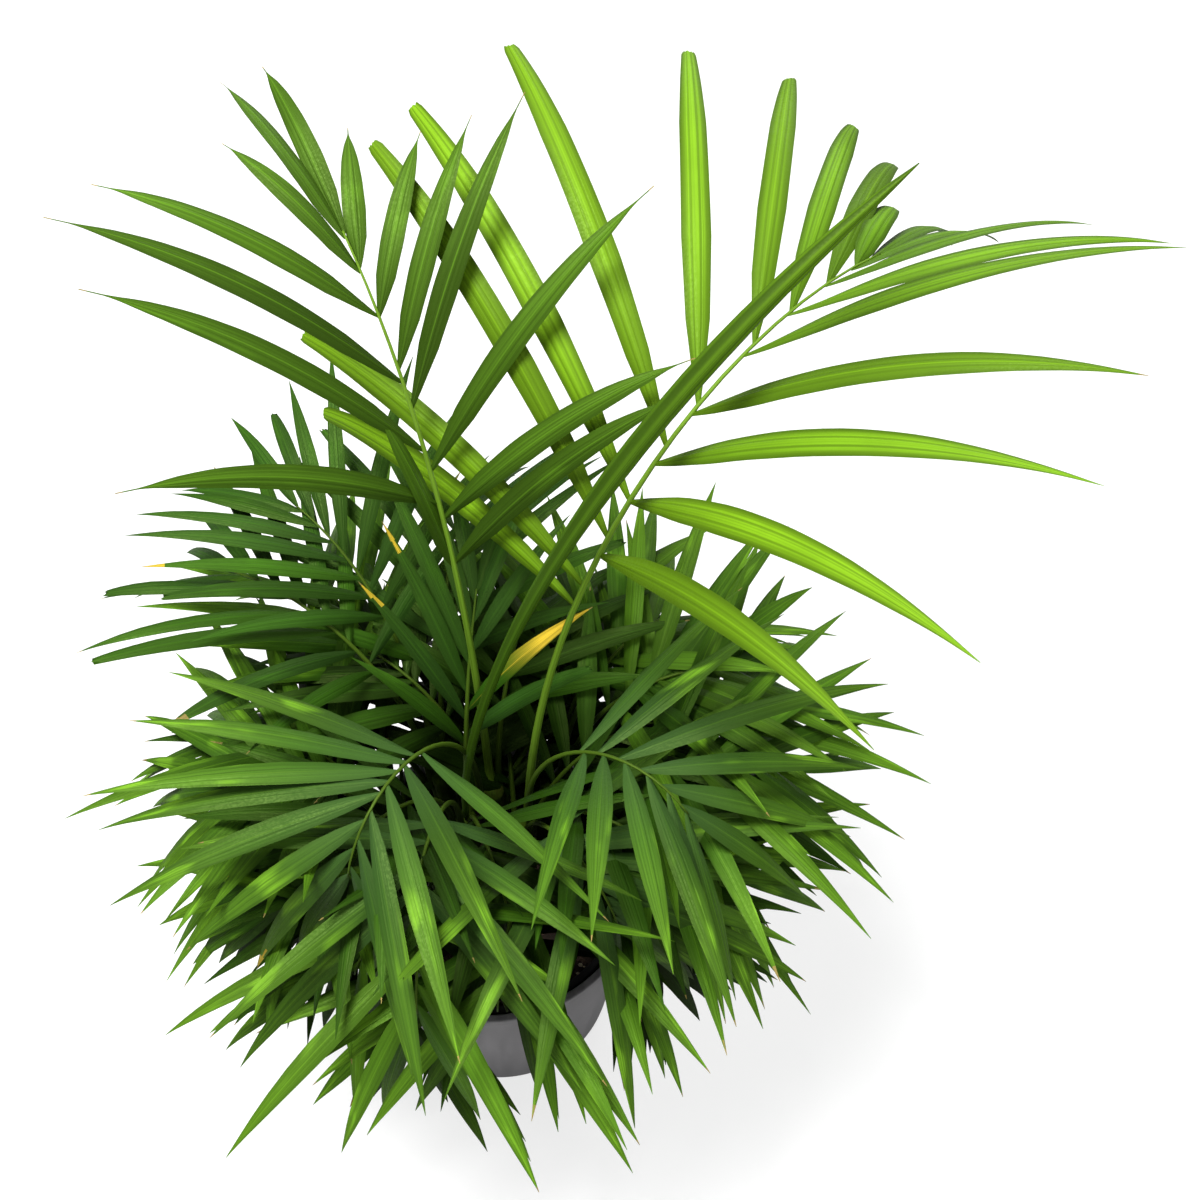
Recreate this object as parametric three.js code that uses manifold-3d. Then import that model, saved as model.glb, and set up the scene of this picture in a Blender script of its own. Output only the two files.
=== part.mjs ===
// A potted areca palm: a clump of young feather palms in a nursery pot that stands in a cover pot.
// Millimetres and degrees, +Z up. The origin is the middle of the cover pot's underside, -Y is the front.

import * as THREE from "three";
import { mergeVertices } from "three/addons/utils/BufferGeometryUtils.js";
import Module from "manifold-3d";

const wasm = await Module();
wasm.setup();

const DEG = Math.PI / 180;
const UP = new THREE.Vector3(0, 0, 1);
const GAP = 0.3;

// Cover pot, nursery pot and soil
const COVER = { height: 135, rim: 80, foot: 62, wall: 2.6, floor: 4, lip: 1.6, lipDrop: 8, round: 1.2 };
const NURSERY = { height: 127, rim: 74, foot: 55, wall: 1.8, floor: 3, lip: 2.2, lipDrop: 8 };
const SOIL = { level: 112, crown: 5, clear: 0.4, bands: 4 };
const POT_SIDES = 36;

// Stems: where each leaves the soil, its height, and which way and how far it leans. Fronds leave a stem
// one step below each other.
const STEM = { foot: 7, waist: 3.8, top: 5, flare: 12, sides: 8, step: 7 };
const STEM_SWELL = { from: 0.55, to: 0.8, share: 0.7 };
const STEMS = {
  centre: { at: [-9, 0], height: 84, heading: 90, lean: 0 },
  right_centre: { at: [13, -7], height: 80, heading: 0, lean: 2 },
  back_centre: { at: [4, 12], height: 85, heading: 90, lean: 2 },
  back_left: { at: [-18, 22], height: 76, heading: 130, lean: 6 },
  back_right: { at: [25, 22], height: 72, heading: 40, lean: 7 },
  left: { at: [-32, -3], height: 64, heading: 180, lean: 8 },
  right: { at: [35, -4], height: 62, heading: 0, lean: 8 },
  front_left: { at: [-17, -26], height: 62, heading: 240, lean: 7 },
  front_right: { at: [17, -30], height: 58, heading: 300, lean: 7 },
};

// How fronds of each kind are built. Rise and fall are the rib's slope at its foot and tip, bend sets how
// late it arches, and stride how many of its steps one straight piece covers. Spread is a leaflet's angle
// from the rib at the first and the last row, lift is how far it stands up out of the frond's plane, and
// droop is how far it bends down by its tip. First and last are the end leaflets' share of a full blade,
// and slices are the steps of a blade at which it has a ring of points.
const KINDS = {
  tall: { stride: 2, width: 11, first: 0.85, last: 0.6, slices: [0, 4, 8] },
  mid: {
    rise: 86, fall: -26, bend: 1.7, petiole: 88, rachis: 92, stride: 4, rows: 7, blade: 114, width: 12.5,
    spread: [60, 20], lift: [22, 13], droop: 40, first: 0.85, last: 0.62, slices: [0, 5],
  },
  low: {
    rise: 84, fall: -42, bend: 1.8, petiole: 80, rachis: 68, stride: 4, rows: 6, blade: 124, width: 12.5,
    spread: [66, 22], lift: [14, 8], droop: 34, first: 0.9, last: 0.68, slices: [0, 5],
  },
  hem: {
    rise: 66, fall: -60, bend: 1.2, petiole: 50, rachis: 56, stride: 4, rows: 5, blade: 103, width: 12,
    spread: [62, 24], lift: [8, 4], droop: 32, first: 0.9, last: 0.7, slices: [0, 5],
  },
};

// Leaflets of the two tall fronds, from the foot up: [place on the rib in hundredths, turn of the spread,
// turn of the lift, change of length in hundredths].
const TALL_RIGHT = {
  right: [
    [14, -3, 0, 0], [27, 4, 1, 1], [36, -1, 0, 2], [48, 3, 0, 0], [63, 1, 0, 8], [75, 5, -3, 12],
    [85, 2, 3, 0], [92, -20, 0, -5], [98, -34, -14, 5],
  ],
  left: [
    [1, -1, -6, -5], [6, -5, 1, 3], [18, -12, 8, 8], [27, -4, 5, 4], [40, 2, 4, 3], [50, -5, -2, -2],
    [66, 1, 0, 0], [76, 1, -2, -2], [86, 3, -4, -3], [94, 8, 10, -48],
  ],
};
const TALL_LEFT = {
  right: [
    [21, -3, 0, 0], [33, 9, 4, -10], [45, 3, 0, 5], [60, -2, 0, 6], [69, 0, -2, -7], [81, 3, -7, -20],
    [92, -6, -7, -30], [100, -19, 0, 4],
  ],
  left: [
    [20, -38, 6, -38], [37, 10, 0, 2], [50, 1, 0, 14], [66, 9, 2, 30], [81, 14, 0, 22], [91, -4, -3, -15],
    [99, -12, 2, 2],
  ],
};

// The fronds, in the order in which they take their place: name, kind, stem, heading, and what differs from
// the kind.
const FRONDS = [
  ["frond_tall_right", "tall", "right_centre", 49, {
    swerve: -9, rise: 85, fall: -17, bend: 1.64, roll: 13, petiole: 158, rachis: 217, blade: 200, width: 13,
    spread: [77, 17], lift: [24, 24], droop: 47, leaflets: TALL_RIGHT,
  }],
  ["frond_tall_left", "tall", "back_centre", 105, {
    swerve: 14, rise: 85, fall: 26, bend: 1.67, petiole: 110, rachis: 195, blade: 152, spread: [54, 22],
    lift: [35, 25], droop: 46, leaflets: TALL_LEFT,
  }],
  ["frond_back_left", "mid", "back_left", 112, {
    swerve: 28, roll: 11, rise: 80, fall: 2, bend: 1.4, petiole: 96, rachis: 70, blade: 114,
  }],
  ["frond_back_left_low", "mid", "back_left", 150, { petiole: 88, rachis: 88 }],
  ["frond_back", "mid", "back_left", 88, { fall: -30, petiole: 78 }],
  ["frond_front_left", "low", "back_centre", 218, {
    swerve: 30, rise: 90, fall: -76, bend: 2, petiole: 110, rachis: 74, blade: 138, width: 13.5,
  }],
  ["frond_front_right", "low", "right_centre", 5, {
    swerve: -50, rise: 93, roll: 10, bend: 2, petiole: 112, rachis: 64, blade: 133, width: 13.5,
  }],
  ["frond_heart", "mid", "centre", 78, {
    rise: 88, fall: 30, bend: 1.2, petiole: 48, rachis: 80, rows: 6, blade: 96, spread: [36, 14],
  }],
  ["frond_back_right", "low", "back_right", 44, { fall: -52, petiole: 66, rachis: 60, blade: 108 }],
  ["frond_back_right_low", "low", "back_right", 12, { fall: -36, petiole: 74, rachis: 70, blade: 113 }],
  ["frond_left_high", "low", "left", 186, { rise: 87, fall: -36, petiole: 66, rachis: 51, blade: 106 }],
  ["frond_right_high", "low", "right", 356, { rise: 87, fall: -36, petiole: 84, rachis: 70 }],
  ["frond_left", "low", "left", 172, { fall: -44, petiole: 64, rachis: 60, blade: 115 }],
  ["frond_right", "low", "right", 30, { rise: 80, fall: -36 }],
  ["frond_left_low", "low", "left", 226, { fall: -52, petiole: 60, rachis: 50, blade: 101 }],
  ["frond_right_low", "low", "right", 336, { fall: -46, petiole: 60, rachis: 58, blade: 113 }],
  ["frond_front_high", "low", "centre", 258, {
    rise: 90, fall: -80, petiole: 86, rachis: 63, blade: 131, width: 13,
  }],
  ["frond_front_centre", "low", "right_centre", 306, {
    rise: 90, fall: -76, petiole: 78, rachis: 62, blade: 131, width: 13,
  }],
  ["frond_middle_left", "low", "front_left", 264, {
    rise: 90, fall: -70, petiole: 84, rachis: 54, blade: 129, width: 13,
  }],
  ["frond_middle_right", "low", "right", 250, {
    rise: 90, fall: -62, petiole: 82, rachis: 54, blade: 124, width: 13,
  }],
  ["frond_front", "low", "front_right", 262, {
    rise: 88, fall: -80, petiole: 64, rachis: 50, blade: 115,
  }],
  ["frond_front_left_low", "low", "front_left", 236, {
    rise: 85, fall: -72, petiole: 50, rachis: 46, blade: 113,
  }],
  ["frond_front_right_low", "low", "front_right", 328, {
    rise: 86, fall: -70, petiole: 56, rachis: 45, blade: 99,
  }],
  ["frond_back_low", "low", "back_right", 84, {
    rise: 80, fall: -62, petiole: 64, rachis: 60, blade: 108,
  }],
  ["frond_back_left_skirt", "low", "back_left", 128, { rise: 78, rachis: 66, blade: 113 }],
  ["frond_back_right_skirt", "low", "back_right", 26, { rise: 72, fall: -50, rachis: 60, blade: 113 }],
  ["frond_hem_left", "hem", "left", 184, { rise: 70, rachis: 51, blade: 94 }],
  ["frond_hem_front_left", "hem", "front_left", 248, { rise: 76, fall: -80, rachis: 42, blade: 99 }],
  ["frond_hem_front_right", "hem", "front_right", 330, { rise: 74, fall: -66, rachis: 38, blade: 85 }],
  ["frond_hem_right", "hem", "right", 350, { rachis: 50, blade: 92 }],
  ["frond_hem_back_right", "hem", "right", 62, {}],
  ["frond_hem_back_left", "hem", "back_left", 106, {}],
];

// The unopened leaf is a slim rod that stands on its stem and bends over.
const SPEAR = {
  name: "spear", stem: "centre", heading: 31, swerve: -3, rise: 88, fall: 28, bend: 0.88, roll: 0, petiole: 0,
  rachis: 410, stride: 1, below: 0, onTop: true,
};
const SPEAR_GIRTH = [[0, 1.8], [0.3, 2.2], [0.45, 3.4], [0.62, 4.2], [0.8, 3.4], [0.92, 2]];

const RIB = { steps: 24, foot: 2.2, tip: 1.1, sides: 4, taper: 0.8 };

// A leaflet: its least thickness and its thickness as a share of its length, its width at the root and the
// place where it is widest, the power of its narrowing and of its droop, how far it folds along the midrib
// and turns level, and the steepest that it hangs. Narrow is how much the short ones keep of the width, and
// upright is how much an upright one keeps of the droop.
const BLADE = {
  steps: 12, thick: 1.3, slim: 0.011, root: 0.2, widest: 0.42, taper: 1.9, arch: 1.4, fold: 0.16, level: 0.45,
  plumb: -86, narrow: 0.75, upright: 0.35,
};

// Along a frond: how far the right row lags behind the left one, where the leaflets are longest, and how
// much they differ.
const ROWS = { stagger: 0.35, longest: 0.35, end: 0.995 };
const VARY = { spread: 4, lift: 5, growth: 0.06, droop: 0.2 };
const FLOOR_CLEAR = 6;

// The pot's side stays in sight between the leaflets: at which headings and heights, on what radius, from
// which place it is seen, and how far a midrib keeps from each line of sight.
const SIGHT = { headings: [275, 316], heights: [62, 84, 106], radius: 72, from: [57, -405, 1000], clear: 11 };

// Ways in which a rib may turn aside, and a leaflet: [turn along the rib, turn out of its plane].
const RIB_TURNS = [0, 4, -4, 8, -8, 12, -12, 16, -16, 20, -20, 25, -25];
const ASIDE = [
  [0, 0], [0, 7], [0, -7], [5, 0], [-5, 0], [5, 8], [-5, 8], [5, -8], [-5, -8], [0, 14], [0, -14],
  [10, 0], [-10, 0], [9, 12], [-9, 12], [9, -12], [-9, -12], [0, 21], [0, -21], [14, 10], [-14, 10],
];
const TRIMS = [1, 0.8, 0.6];

const mix = (a, b, share) => a + (b - a) * share;
const ease = (x) => x * x * (3 - 2 * x);
const vec = (x, y, z) => new THREE.Vector3(x, y, z);
const crossOf = (a, b) => vec(0, 0, 0).crossVectors(a, b);
const blend = (a, share, b, rest) => a.clone().multiplyScalar(share).addScaledVector(b, rest);

// A steady scatter between -1 and 1.
function scatter(i, j) {
  const v = Math.sin(i * 12.9898 + j * 78.233) * 43758.5453;
  return 2 * (v - Math.floor(v)) - 1;
}

function directionOf(heading, slope) {
  const [h, e] = [heading * DEG, slope * DEG];
  return vec(Math.cos(e) * Math.cos(h), Math.cos(e) * Math.sin(h), Math.sin(e));
}

// A closed solid through rings that have the same number of points, and up to an end point if it has one.
function loft(rings, tip) {
  const n = rings[0].length;
  const points = rings.flat();
  const faces = [];
  for (let i = 1; i < n - 1; i += 1) faces.push([0, i + 1, i]);
  for (let k = 0; k < rings.length - 1; k += 1) {
    for (let i = 0; i < n; i += 1) {
      const j = (i + 1) % n;
      const [a, b, c, d] = [k * n + i, k * n + j, (k + 1) * n + i, (k + 1) * n + j];
      faces.push([a, b, d], [a, d, c]);
    }
  }
  const last = (rings.length - 1) * n;
  if (tip) {
    points.push(tip);
    for (let i = 0; i < n; i += 1) faces.push([last + i, last + ((i + 1) % n), points.length - 1]);
  } else {
    for (let i = 1; i < n - 1; i += 1) faces.push([last, last + i, last + i + 1]);
  }
  const vertProperties = new Float32Array(points.flatMap((p) => [p.x, p.y, p.z]));
  const triVerts = new Uint32Array(faces.flat());
  return new wasm.Manifold(new wasm.Mesh({ numProp: 3, vertProperties, triVerts }));
}

// A ring of n points round a centre, in the plane of two directions. Its first side faces the first one.
function ringAt(centre, side, face, radius, n) {
  return Array.from({ length: n }, (_, i) => {
    const a = (2 * Math.PI * (i - 0.5)) / n;
    const [x, y] = [radius * Math.cos(a), radius * Math.sin(a)];
    return centre.clone().addScaledVector(side, x).addScaledVector(face, y);
  });
}

// A vessel turned from a profile of [radius, height] points that starts and ends on the axis.
function turned(profile) {
  const shape = new THREE.LatheGeometry(profile.map(([r, z]) => new THREE.Vector2(r, z)), POT_SIDES);
  shape.rotateX(Math.PI / 2);
  shape.deleteAttribute("normal");
  shape.deleteAttribute("uv");
  const merged = mergeVertices(shape, 1e-3);
  const vertProperties = merged.attributes.position.array;
  const triVerts = new Uint32Array(merged.index.array);
  return new wasm.Manifold(new wasm.Mesh({ numProp: 3, vertProperties, triVerts }));
}

function coverPot() {
  const { height, rim, foot, wall, floor, lip, lipDrop, round } = COVER;
  const slant = (z) => mix(foot, rim - lip, z / height);
  return turned([
    [0, 0], [foot - round, 0], [foot, round], [slant(height - lipDrop), height - lipDrop],
    [rim, height - lipDrop + lip], [rim, height - round], [rim - round, height], [rim - lip - wall, height],
    [slant(floor) - wall, floor], [0, floor],
  ]);
}

const nurseryBase = COVER.floor + GAP;
const nurserySlant = (z) => mix(NURSERY.foot, NURSERY.rim - NURSERY.lip, (z - nurseryBase) / NURSERY.height);

function nurseryPot() {
  const { height, rim, foot, wall, floor, lip, lipDrop } = NURSERY;
  const top = nurseryBase + height;
  return turned([
    [0, nurseryBase], [foot, nurseryBase], [nurserySlant(top - lipDrop), top - lipDrop],
    [rim, top - lipDrop + lip], [rim, top], [rim - lip - wall, top],
    [nurserySlant(nurseryBase + floor) - wall, nurseryBase + floor], [0, nurseryBase + floor],
  ]);
}

const soilEdge = (z) => nurserySlant(z) - NURSERY.wall - SOIL.clear;

// Height of the soil, which is mounded a little in the middle.
function soilHeight(radius) {
  return SOIL.level + SOIL.crown * (1 - (radius / soilEdge(SOIL.level)) ** 2);
}

function soilBed() {
  const base = nurseryBase + NURSERY.floor + GAP;
  const profile = [[0, base], [soilEdge(base), base]];
  for (let band = SOIL.bands; band >= 0; band -= 1) {
    const radius = (soilEdge(SOIL.level) * band) / SOIL.bands;
    profile.push([radius, soilHeight(radius)]);
  }
  return turned(profile);
}

function stemFoot(stem) {
  return vec(...stem.at, soilHeight(Math.hypot(...stem.at) - STEM.foot) + GAP);
}

function stemTop(stem) {
  return vec(...stem.at, SOIL.level + SOIL.crown)
    .addScaledVector(directionOf(stem.heading, 90 - stem.lean), stem.height);
}

function stemSolid(stem) {
  const [foot, top] = [stemFoot(stem), stemTop(stem)];
  const { from, to, share: swell } = STEM_SWELL;
  const flare = STEM.flare / (top.z - foot.z);
  const girths = [
    [0, STEM.foot], [flare, STEM.waist], [from, STEM.waist], [to, mix(STEM.waist, STEM.top, swell)],
    [1, STEM.top],
  ];
  const rings = girths.map(([share, radius]) =>
    ringAt(foot.clone().lerp(top, share), vec(1, 0, 0), vec(0, 1, 0), radius, STEM.sides));
  return loft(rings);
}

// The rib of a frond: stations from its foot beside the stem to its tip, each with three directions. It is
// straight between them.
function ribOf(frond, turn) {
  const step = (frond.petiole + frond.rachis) / RIB.steps;
  const point = stemTop(STEMS[frond.stem]);
  if (frond.onTop) point.z += GAP + RIB.foot;
  else point.addScaledVector(directionOf(frond.heading + turn, 0), STEM.top + 2 * GAP + RIB.foot);
  point.z -= frond.below;
  const stations = [];
  for (let i = 0; i <= RIB.steps; i += 1) {
    const share = i / RIB.steps;
    const heading = frond.heading + turn + frond.swerve * share;
    const along = directionOf(heading, mix(frond.rise, frond.fall, share ** frond.bend));
    const flat = directionOf(heading - 90, 0);
    const roll = frond.roll * share * DEG;
    const side = blend(flat, Math.cos(roll), crossOf(flat, along), Math.sin(roll));
    if (i % frond.stride === 0) {
      stations.push({ point: point.clone(), along, side, face: crossOf(side, along) });
    }
    point.addScaledVector(along, step);
  }
  return stations;
}

// A station between two others, at a share of the rib's length.
function stationAt(rib, share) {
  const place = Math.min(share, 1 - 1e-6) * (rib.length - 1);
  const [i, part] = [Math.floor(place), place % 1];
  const between = (key) => rib[i][key].clone().lerp(rib[i + 1][key], part);
  const [along, side, face] = ["along", "side", "face"].map((key) => between(key).normalize());
  return { point: between("point"), along, side, face };
}

function ribSolid(rib, extra) {
  return loft(rib.map(({ point, side, face }, i) => {
    const radius = mix(RIB.foot, RIB.tip, (i / (rib.length - 1)) ** RIB.taper) + extra;
    return ringAt(point, face, side, radius, RIB.sides);
  }));
}

function spearSolid(rib) {
  const rings = SPEAR_GIRTH.map(([share, radius]) => {
    const at = stationAt(rib, share);
    return ringAt(at.point, at.face, at.side, radius, RIB.sides);
  });
  return loft(rings, rib.at(-1).point);
}

// The leaflets of a frond: each has its side of the rib (1 right, -1 left), its place along the leafy part
// of it as a share, its turn of spread and lift, and its change of length.
function leafletsOf(frond) {
  const list = [];
  if (frond.leaflets) {
    for (const [side, rows] of [[1, frond.leaflets.right], [-1, frond.leaflets.left]]) {
      for (const [place, spread, lift, growth] of rows) {
        list.push({ side, share: place / 100, spread, lift, growth: 1 + growth / 100, droop: 1 });
      }
    }
    return list;
  }
  for (let row = 0; row < frond.rows; row += 1) {
    for (const side of [1, -1]) {
      const seed = row * 2 + (side > 0 ? 1 : 0);
      list.push({
        side,
        share: (row + (side > 0 ? ROWS.stagger : 0)) / (frond.rows - 1 + ROWS.stagger),
        spread: VARY.spread * scatter(seed, frond.seed),
        lift: VARY.lift * scatter(seed, frond.seed + 7),
        growth: 1 + VARY.growth * scatter(seed, frond.seed + 13),
        droop: 1 + VARY.droop * scatter(seed, frond.seed + 19),
      });
    }
  }
  return list;
}

// Half-width of a leaflet along its length, as a share of its widest.
function bladeShape(t) {
  if (t < BLADE.widest) return mix(BLADE.root, 1, Math.sin((t / BLADE.widest) * (Math.PI / 2)));
  return Math.max(1 - ((t - BLADE.widest) / (1 - BLADE.widest)) ** BLADE.taper, 0);
}

// A leaflet's midrib, with its directions and half-width at each step. It may step aside and be trimmed.
function bladeOf(frond, leaflet, [turnSpread, turnLift], trim) {
  const { side, share } = leaflet;
  const leafy = frond.petiole / (frond.petiole + frond.rachis);
  const at = stationAt(frond.rib, mix(leafy, ROWS.end, share));
  const spread = (mix(...frond.spread, share) + leaflet.spread + turnSpread) * DEG;
  const lift = (mix(...frond.lift, share) + leaflet.lift + turnLift) * DEG;
  const swell = share < ROWS.longest
    ? mix(frond.first, 1, ease(share / ROWS.longest))
    : mix(1, frond.last, ease((share - ROWS.longest) / (1 - ROWS.longest)));
  const length = frond.blade * swell * leaflet.growth * trim;
  const outward = blend(at.side, side * Math.cos(lift), at.face, Math.sin(lift));
  const start = blend(at.along, Math.cos(spread), outward, Math.sin(spread));
  const face = blend(at.face, Math.cos(lift), at.side, -side * Math.sin(lift));
  const slope = Math.asin(start.z) / DEG;
  const heading = Math.atan2(start.y, start.x) / DEG;
  const droop = frond.droop * leaflet.droop * mix(BLADE.upright, 1, Math.cos(slope * DEG));
  const half = (frond.width / 2) * mix(BLADE.narrow, 1, swell);
  const stations = [];
  const point = at.point.clone();
  for (let i = 0; i <= BLADE.steps; i += 1) {
    const t = i / BLADE.steps;
    const along = directionOf(heading, Math.max(slope - droop * t ** BLADE.arch, BLADE.plumb));
    const level = BLADE.level * ease(t);
    const normal = blend(face, 1 - level, UP, level);
    normal.addScaledVector(along, -normal.dot(along)).normalize();
    const across = crossOf(along, normal);
    stations.push({ point: point.clone(), across, normal, half: half * bladeShape(t) });
    point.addScaledVector(along, length / BLADE.steps);
  }
  return { stations, thick: Math.max(BLADE.thick, BLADE.slim * length) };
}

// A leaflet's solid: a ridged blade with a three-sided section that ends in a point.
function bladeSolid({ stations, thick }, slices, extra) {
  const rings = slices.map((i) => {
    const { point, across, normal, half } = stations[i];
    const edge = half + 2 * extra;
    const drop = -thick / 2 - extra / 2 - BLADE.fold * half;
    const corner = (x, y) => point.clone().addScaledVector(across, x).addScaledVector(normal, y);
    return [corner(-edge, drop), corner(0, thick / 2 + extra), corner(edge, drop)];
  });
  const [before, end] = stations.slice(-2);
  return loft(rings, end.point.clone().lerp(before.point, -extra / 4));
}

const sightLines = SIGHT.headings.flatMap((heading) => SIGHT.heights.map((height) => {
  const at = directionOf(heading, 0).multiplyScalar(SIGHT.radius).addScaledVector(UP, height);
  return new THREE.Ray(at, vec(...SIGHT.from).sub(at).normalize());
}));

function hidesPot({ stations }) {
  return stations.some(({ point }) => sightLines.some((line) => line.distanceToPoint(point) < SIGHT.clear));
}

const taken = (owner, solid) => ({ owner, solid, box: solid.boundingBox() });

function boxesMeet(a, b) {
  return [0, 1, 2].every((k) => a.min[k] <= b.max[k] && b.min[k] <= a.max[k]);
}

function touches(solid, others) {
  const box = solid.boundingBox();
  return others.some((other) => {
    if (!boxesMeet(box, other.box)) return false;
    const common = solid.intersect(other.solid);
    const met = common.numTri() > 0;
    common.delete();
    return met;
  });
}

const palette = {
  cover: { color: 0x77777c, roughness: 0.55, metalness: 0 },
  nursery: { color: 0x0c0c0d, roughness: 0.5, metalness: 0 },
  soil: { color: 0x2c1f14, roughness: 0.95, metalness: 0 },
  stem: { color: 0x5d8a2a, roughness: 0.5, metalness: 0 },
  spear: { color: 0x3c7a1e, roughness: 0.42, metalness: 0 },
  tall: { color: 0x5fa51e, roughness: 0.42, metalness: 0 },
  mid: { color: 0x27591c, roughness: 0.42, metalness: 0 },
  low: { color: 0x3a7a24, roughness: 0.42, metalness: 0 },
  hem: { color: 0x4d8a2a, roughness: 0.42, metalness: 0 },
};

const plant = new THREE.Group();
plant.name = "potted_areca_palm";
const placed = [];

function addNode(name, solid, look) {
  const { numProp, vertProperties, triVerts } = solid.getMesh();
  const count = vertProperties.length / numProp;
  const positions = new Float32Array(count * 3);
  for (let i = 0; i < count; i += 1) {
    positions.set(vertProperties.subarray(i * numProp, i * numProp + 3), i * 3);
  }
  const geometry = new THREE.BufferGeometry();
  geometry.setAttribute("position", new THREE.BufferAttribute(positions, 3));
  geometry.setIndex(new THREE.BufferAttribute(new Uint32Array(triVerts), 1));
  geometry.computeVertexNormals();
  const mesh = new THREE.Mesh(geometry, new THREE.MeshStandardMaterial(palette[look]));
  mesh.name = name;
  plant.add(mesh);
}

// Pots, soil and stems
for (const [name, solid, look] of [
  ["cover_pot", coverPot(), "cover"],
  ["nursery_pot", nurseryPot(), "nursery"],
  ["soil", soilBed(), "soil"],
  ...Object.entries(STEMS).map(([name, stem]) => [`stem_${name}`, stemSolid(stem), "stem"]),
]) {
  placed.push(taken(name, solid));
  addNode(name, solid, look);
}

// Ribs come first, so that every leaflet keeps clear of all of them.
const spear = spearSolid(ribOf(SPEAR, 0));
placed.push(taken(SPEAR.name, spear));
addNode(SPEAR.name, spear, "spear");

const fronds = FRONDS.map(([name, kind, stem, heading, own], i) => {
  const below = STEM.step * FRONDS.slice(0, i).filter((before) => before[2] === stem).length;
  return { name, kind, stem, heading, below, seed: i + 1, swerve: 0, roll: 0, ...KINDS[kind], ...own };
});
for (const frond of fronds) {
  const turn = RIB_TURNS.find((t) => !touches(ribSolid(ribOf(frond, t), GAP), placed));
  if (turn === undefined) throw new Error(`${frond.name} has no room for its rib`);
  frond.rib = ribOf(frond, turn);
  frond.parts = [ribSolid(frond.rib, 0)];
  placed.push(taken(frond.name, frond.parts[0]));
}

// A leaflet that finds no room, turned or trimmed, is left out.
function placeLeaflet(frond, leaflet, others) {
  for (const trim of TRIMS) {
    for (const aside of ASIDE) {
      const blade = bladeOf(frond, leaflet, aside, trim);
      if (blade.stations.some(({ point }) => point.z < FLOOR_CLEAR) || hidesPot(blade)) continue;
      if (touches(bladeSolid(blade, frond.slices, GAP), others)) continue;
      return bladeSolid(blade, frond.slices, 0);
    }
  }
  return null;
}

for (const frond of fronds) {
  const others = placed.filter(({ owner }) => owner !== frond.name);
  for (const leaflet of leafletsOf(frond)) {
    const solid = placeLeaflet(frond, leaflet, others);
    if (!solid) continue;
    frond.parts.push(solid);
    placed.push(taken(frond.name, solid));
  }
  addNode(frond.name, wasm.Manifold.union(frond.parts), frond.kind);
}

export default plant;
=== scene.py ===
"""The looks of a potted areca palm: pots, soil, canes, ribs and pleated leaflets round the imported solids."""

import math

import bmesh
import bpy
import numpy as np
from bpy.props import FloatProperty, FloatVectorProperty, IntProperty, PointerProperty
from mathutils import Matrix, Vector, kdtree, noise


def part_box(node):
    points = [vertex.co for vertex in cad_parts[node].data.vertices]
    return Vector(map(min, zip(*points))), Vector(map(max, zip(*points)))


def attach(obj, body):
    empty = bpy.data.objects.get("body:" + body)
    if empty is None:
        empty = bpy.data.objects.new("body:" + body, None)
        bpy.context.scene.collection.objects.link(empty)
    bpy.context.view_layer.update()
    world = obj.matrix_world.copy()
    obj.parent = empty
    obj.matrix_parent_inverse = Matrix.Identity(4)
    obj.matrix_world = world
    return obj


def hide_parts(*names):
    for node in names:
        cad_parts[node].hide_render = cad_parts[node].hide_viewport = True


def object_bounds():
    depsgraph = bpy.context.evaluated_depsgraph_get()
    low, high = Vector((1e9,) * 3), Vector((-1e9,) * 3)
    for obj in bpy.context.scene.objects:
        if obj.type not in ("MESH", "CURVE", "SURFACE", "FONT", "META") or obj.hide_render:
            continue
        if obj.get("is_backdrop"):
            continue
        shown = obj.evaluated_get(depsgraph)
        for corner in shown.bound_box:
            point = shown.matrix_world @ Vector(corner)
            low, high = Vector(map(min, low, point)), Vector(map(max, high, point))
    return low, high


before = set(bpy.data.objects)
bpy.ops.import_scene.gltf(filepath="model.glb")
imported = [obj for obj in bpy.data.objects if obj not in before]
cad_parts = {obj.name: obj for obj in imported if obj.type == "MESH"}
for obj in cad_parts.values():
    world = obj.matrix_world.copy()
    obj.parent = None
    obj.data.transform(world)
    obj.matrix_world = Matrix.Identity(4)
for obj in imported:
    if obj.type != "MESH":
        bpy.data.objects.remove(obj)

bl_info = {
    "name": "Potted Areca Palm",
    "version": (1, 0, 0),
    "blender": (4, 5, 0),
    "location": "View3D > Sidebar > Palm",
    "description": "Builds the pots, soil, canes and fronds of a young potted palm",
    "category": "Add Mesh",
}

MM = 0.001
UP = Vector((0, 0, 1))
GAP = 0.3

# The growing rule, in millimetres and degrees, as in the solids' source.
STEM = {"waist": 3.8, "top": 5, "foot": 7, "flare": 12, "step": 7, "soil": 117}
STEMS = {
    "centre": {"at": (-9, 0), "height": 84, "heading": 90, "lean": 0},
    "right_centre": {"at": (13, -7), "height": 80, "heading": 0, "lean": 2},
    "back_centre": {"at": (4, 12), "height": 85, "heading": 90, "lean": 2},
    "back_left": {"at": (-18, 22), "height": 76, "heading": 130, "lean": 6},
    "back_right": {"at": (25, 22), "height": 72, "heading": 40, "lean": 7},
    "left": {"at": (-32, -3), "height": 64, "heading": 180, "lean": 8},
    "right": {"at": (35, -4), "height": 62, "heading": 0, "lean": 8},
    "front_left": {"at": (-17, -26), "height": 62, "heading": 240, "lean": 7},
    "front_right": {"at": (17, -30), "height": 58, "heading": 300, "lean": 7},
}
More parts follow.
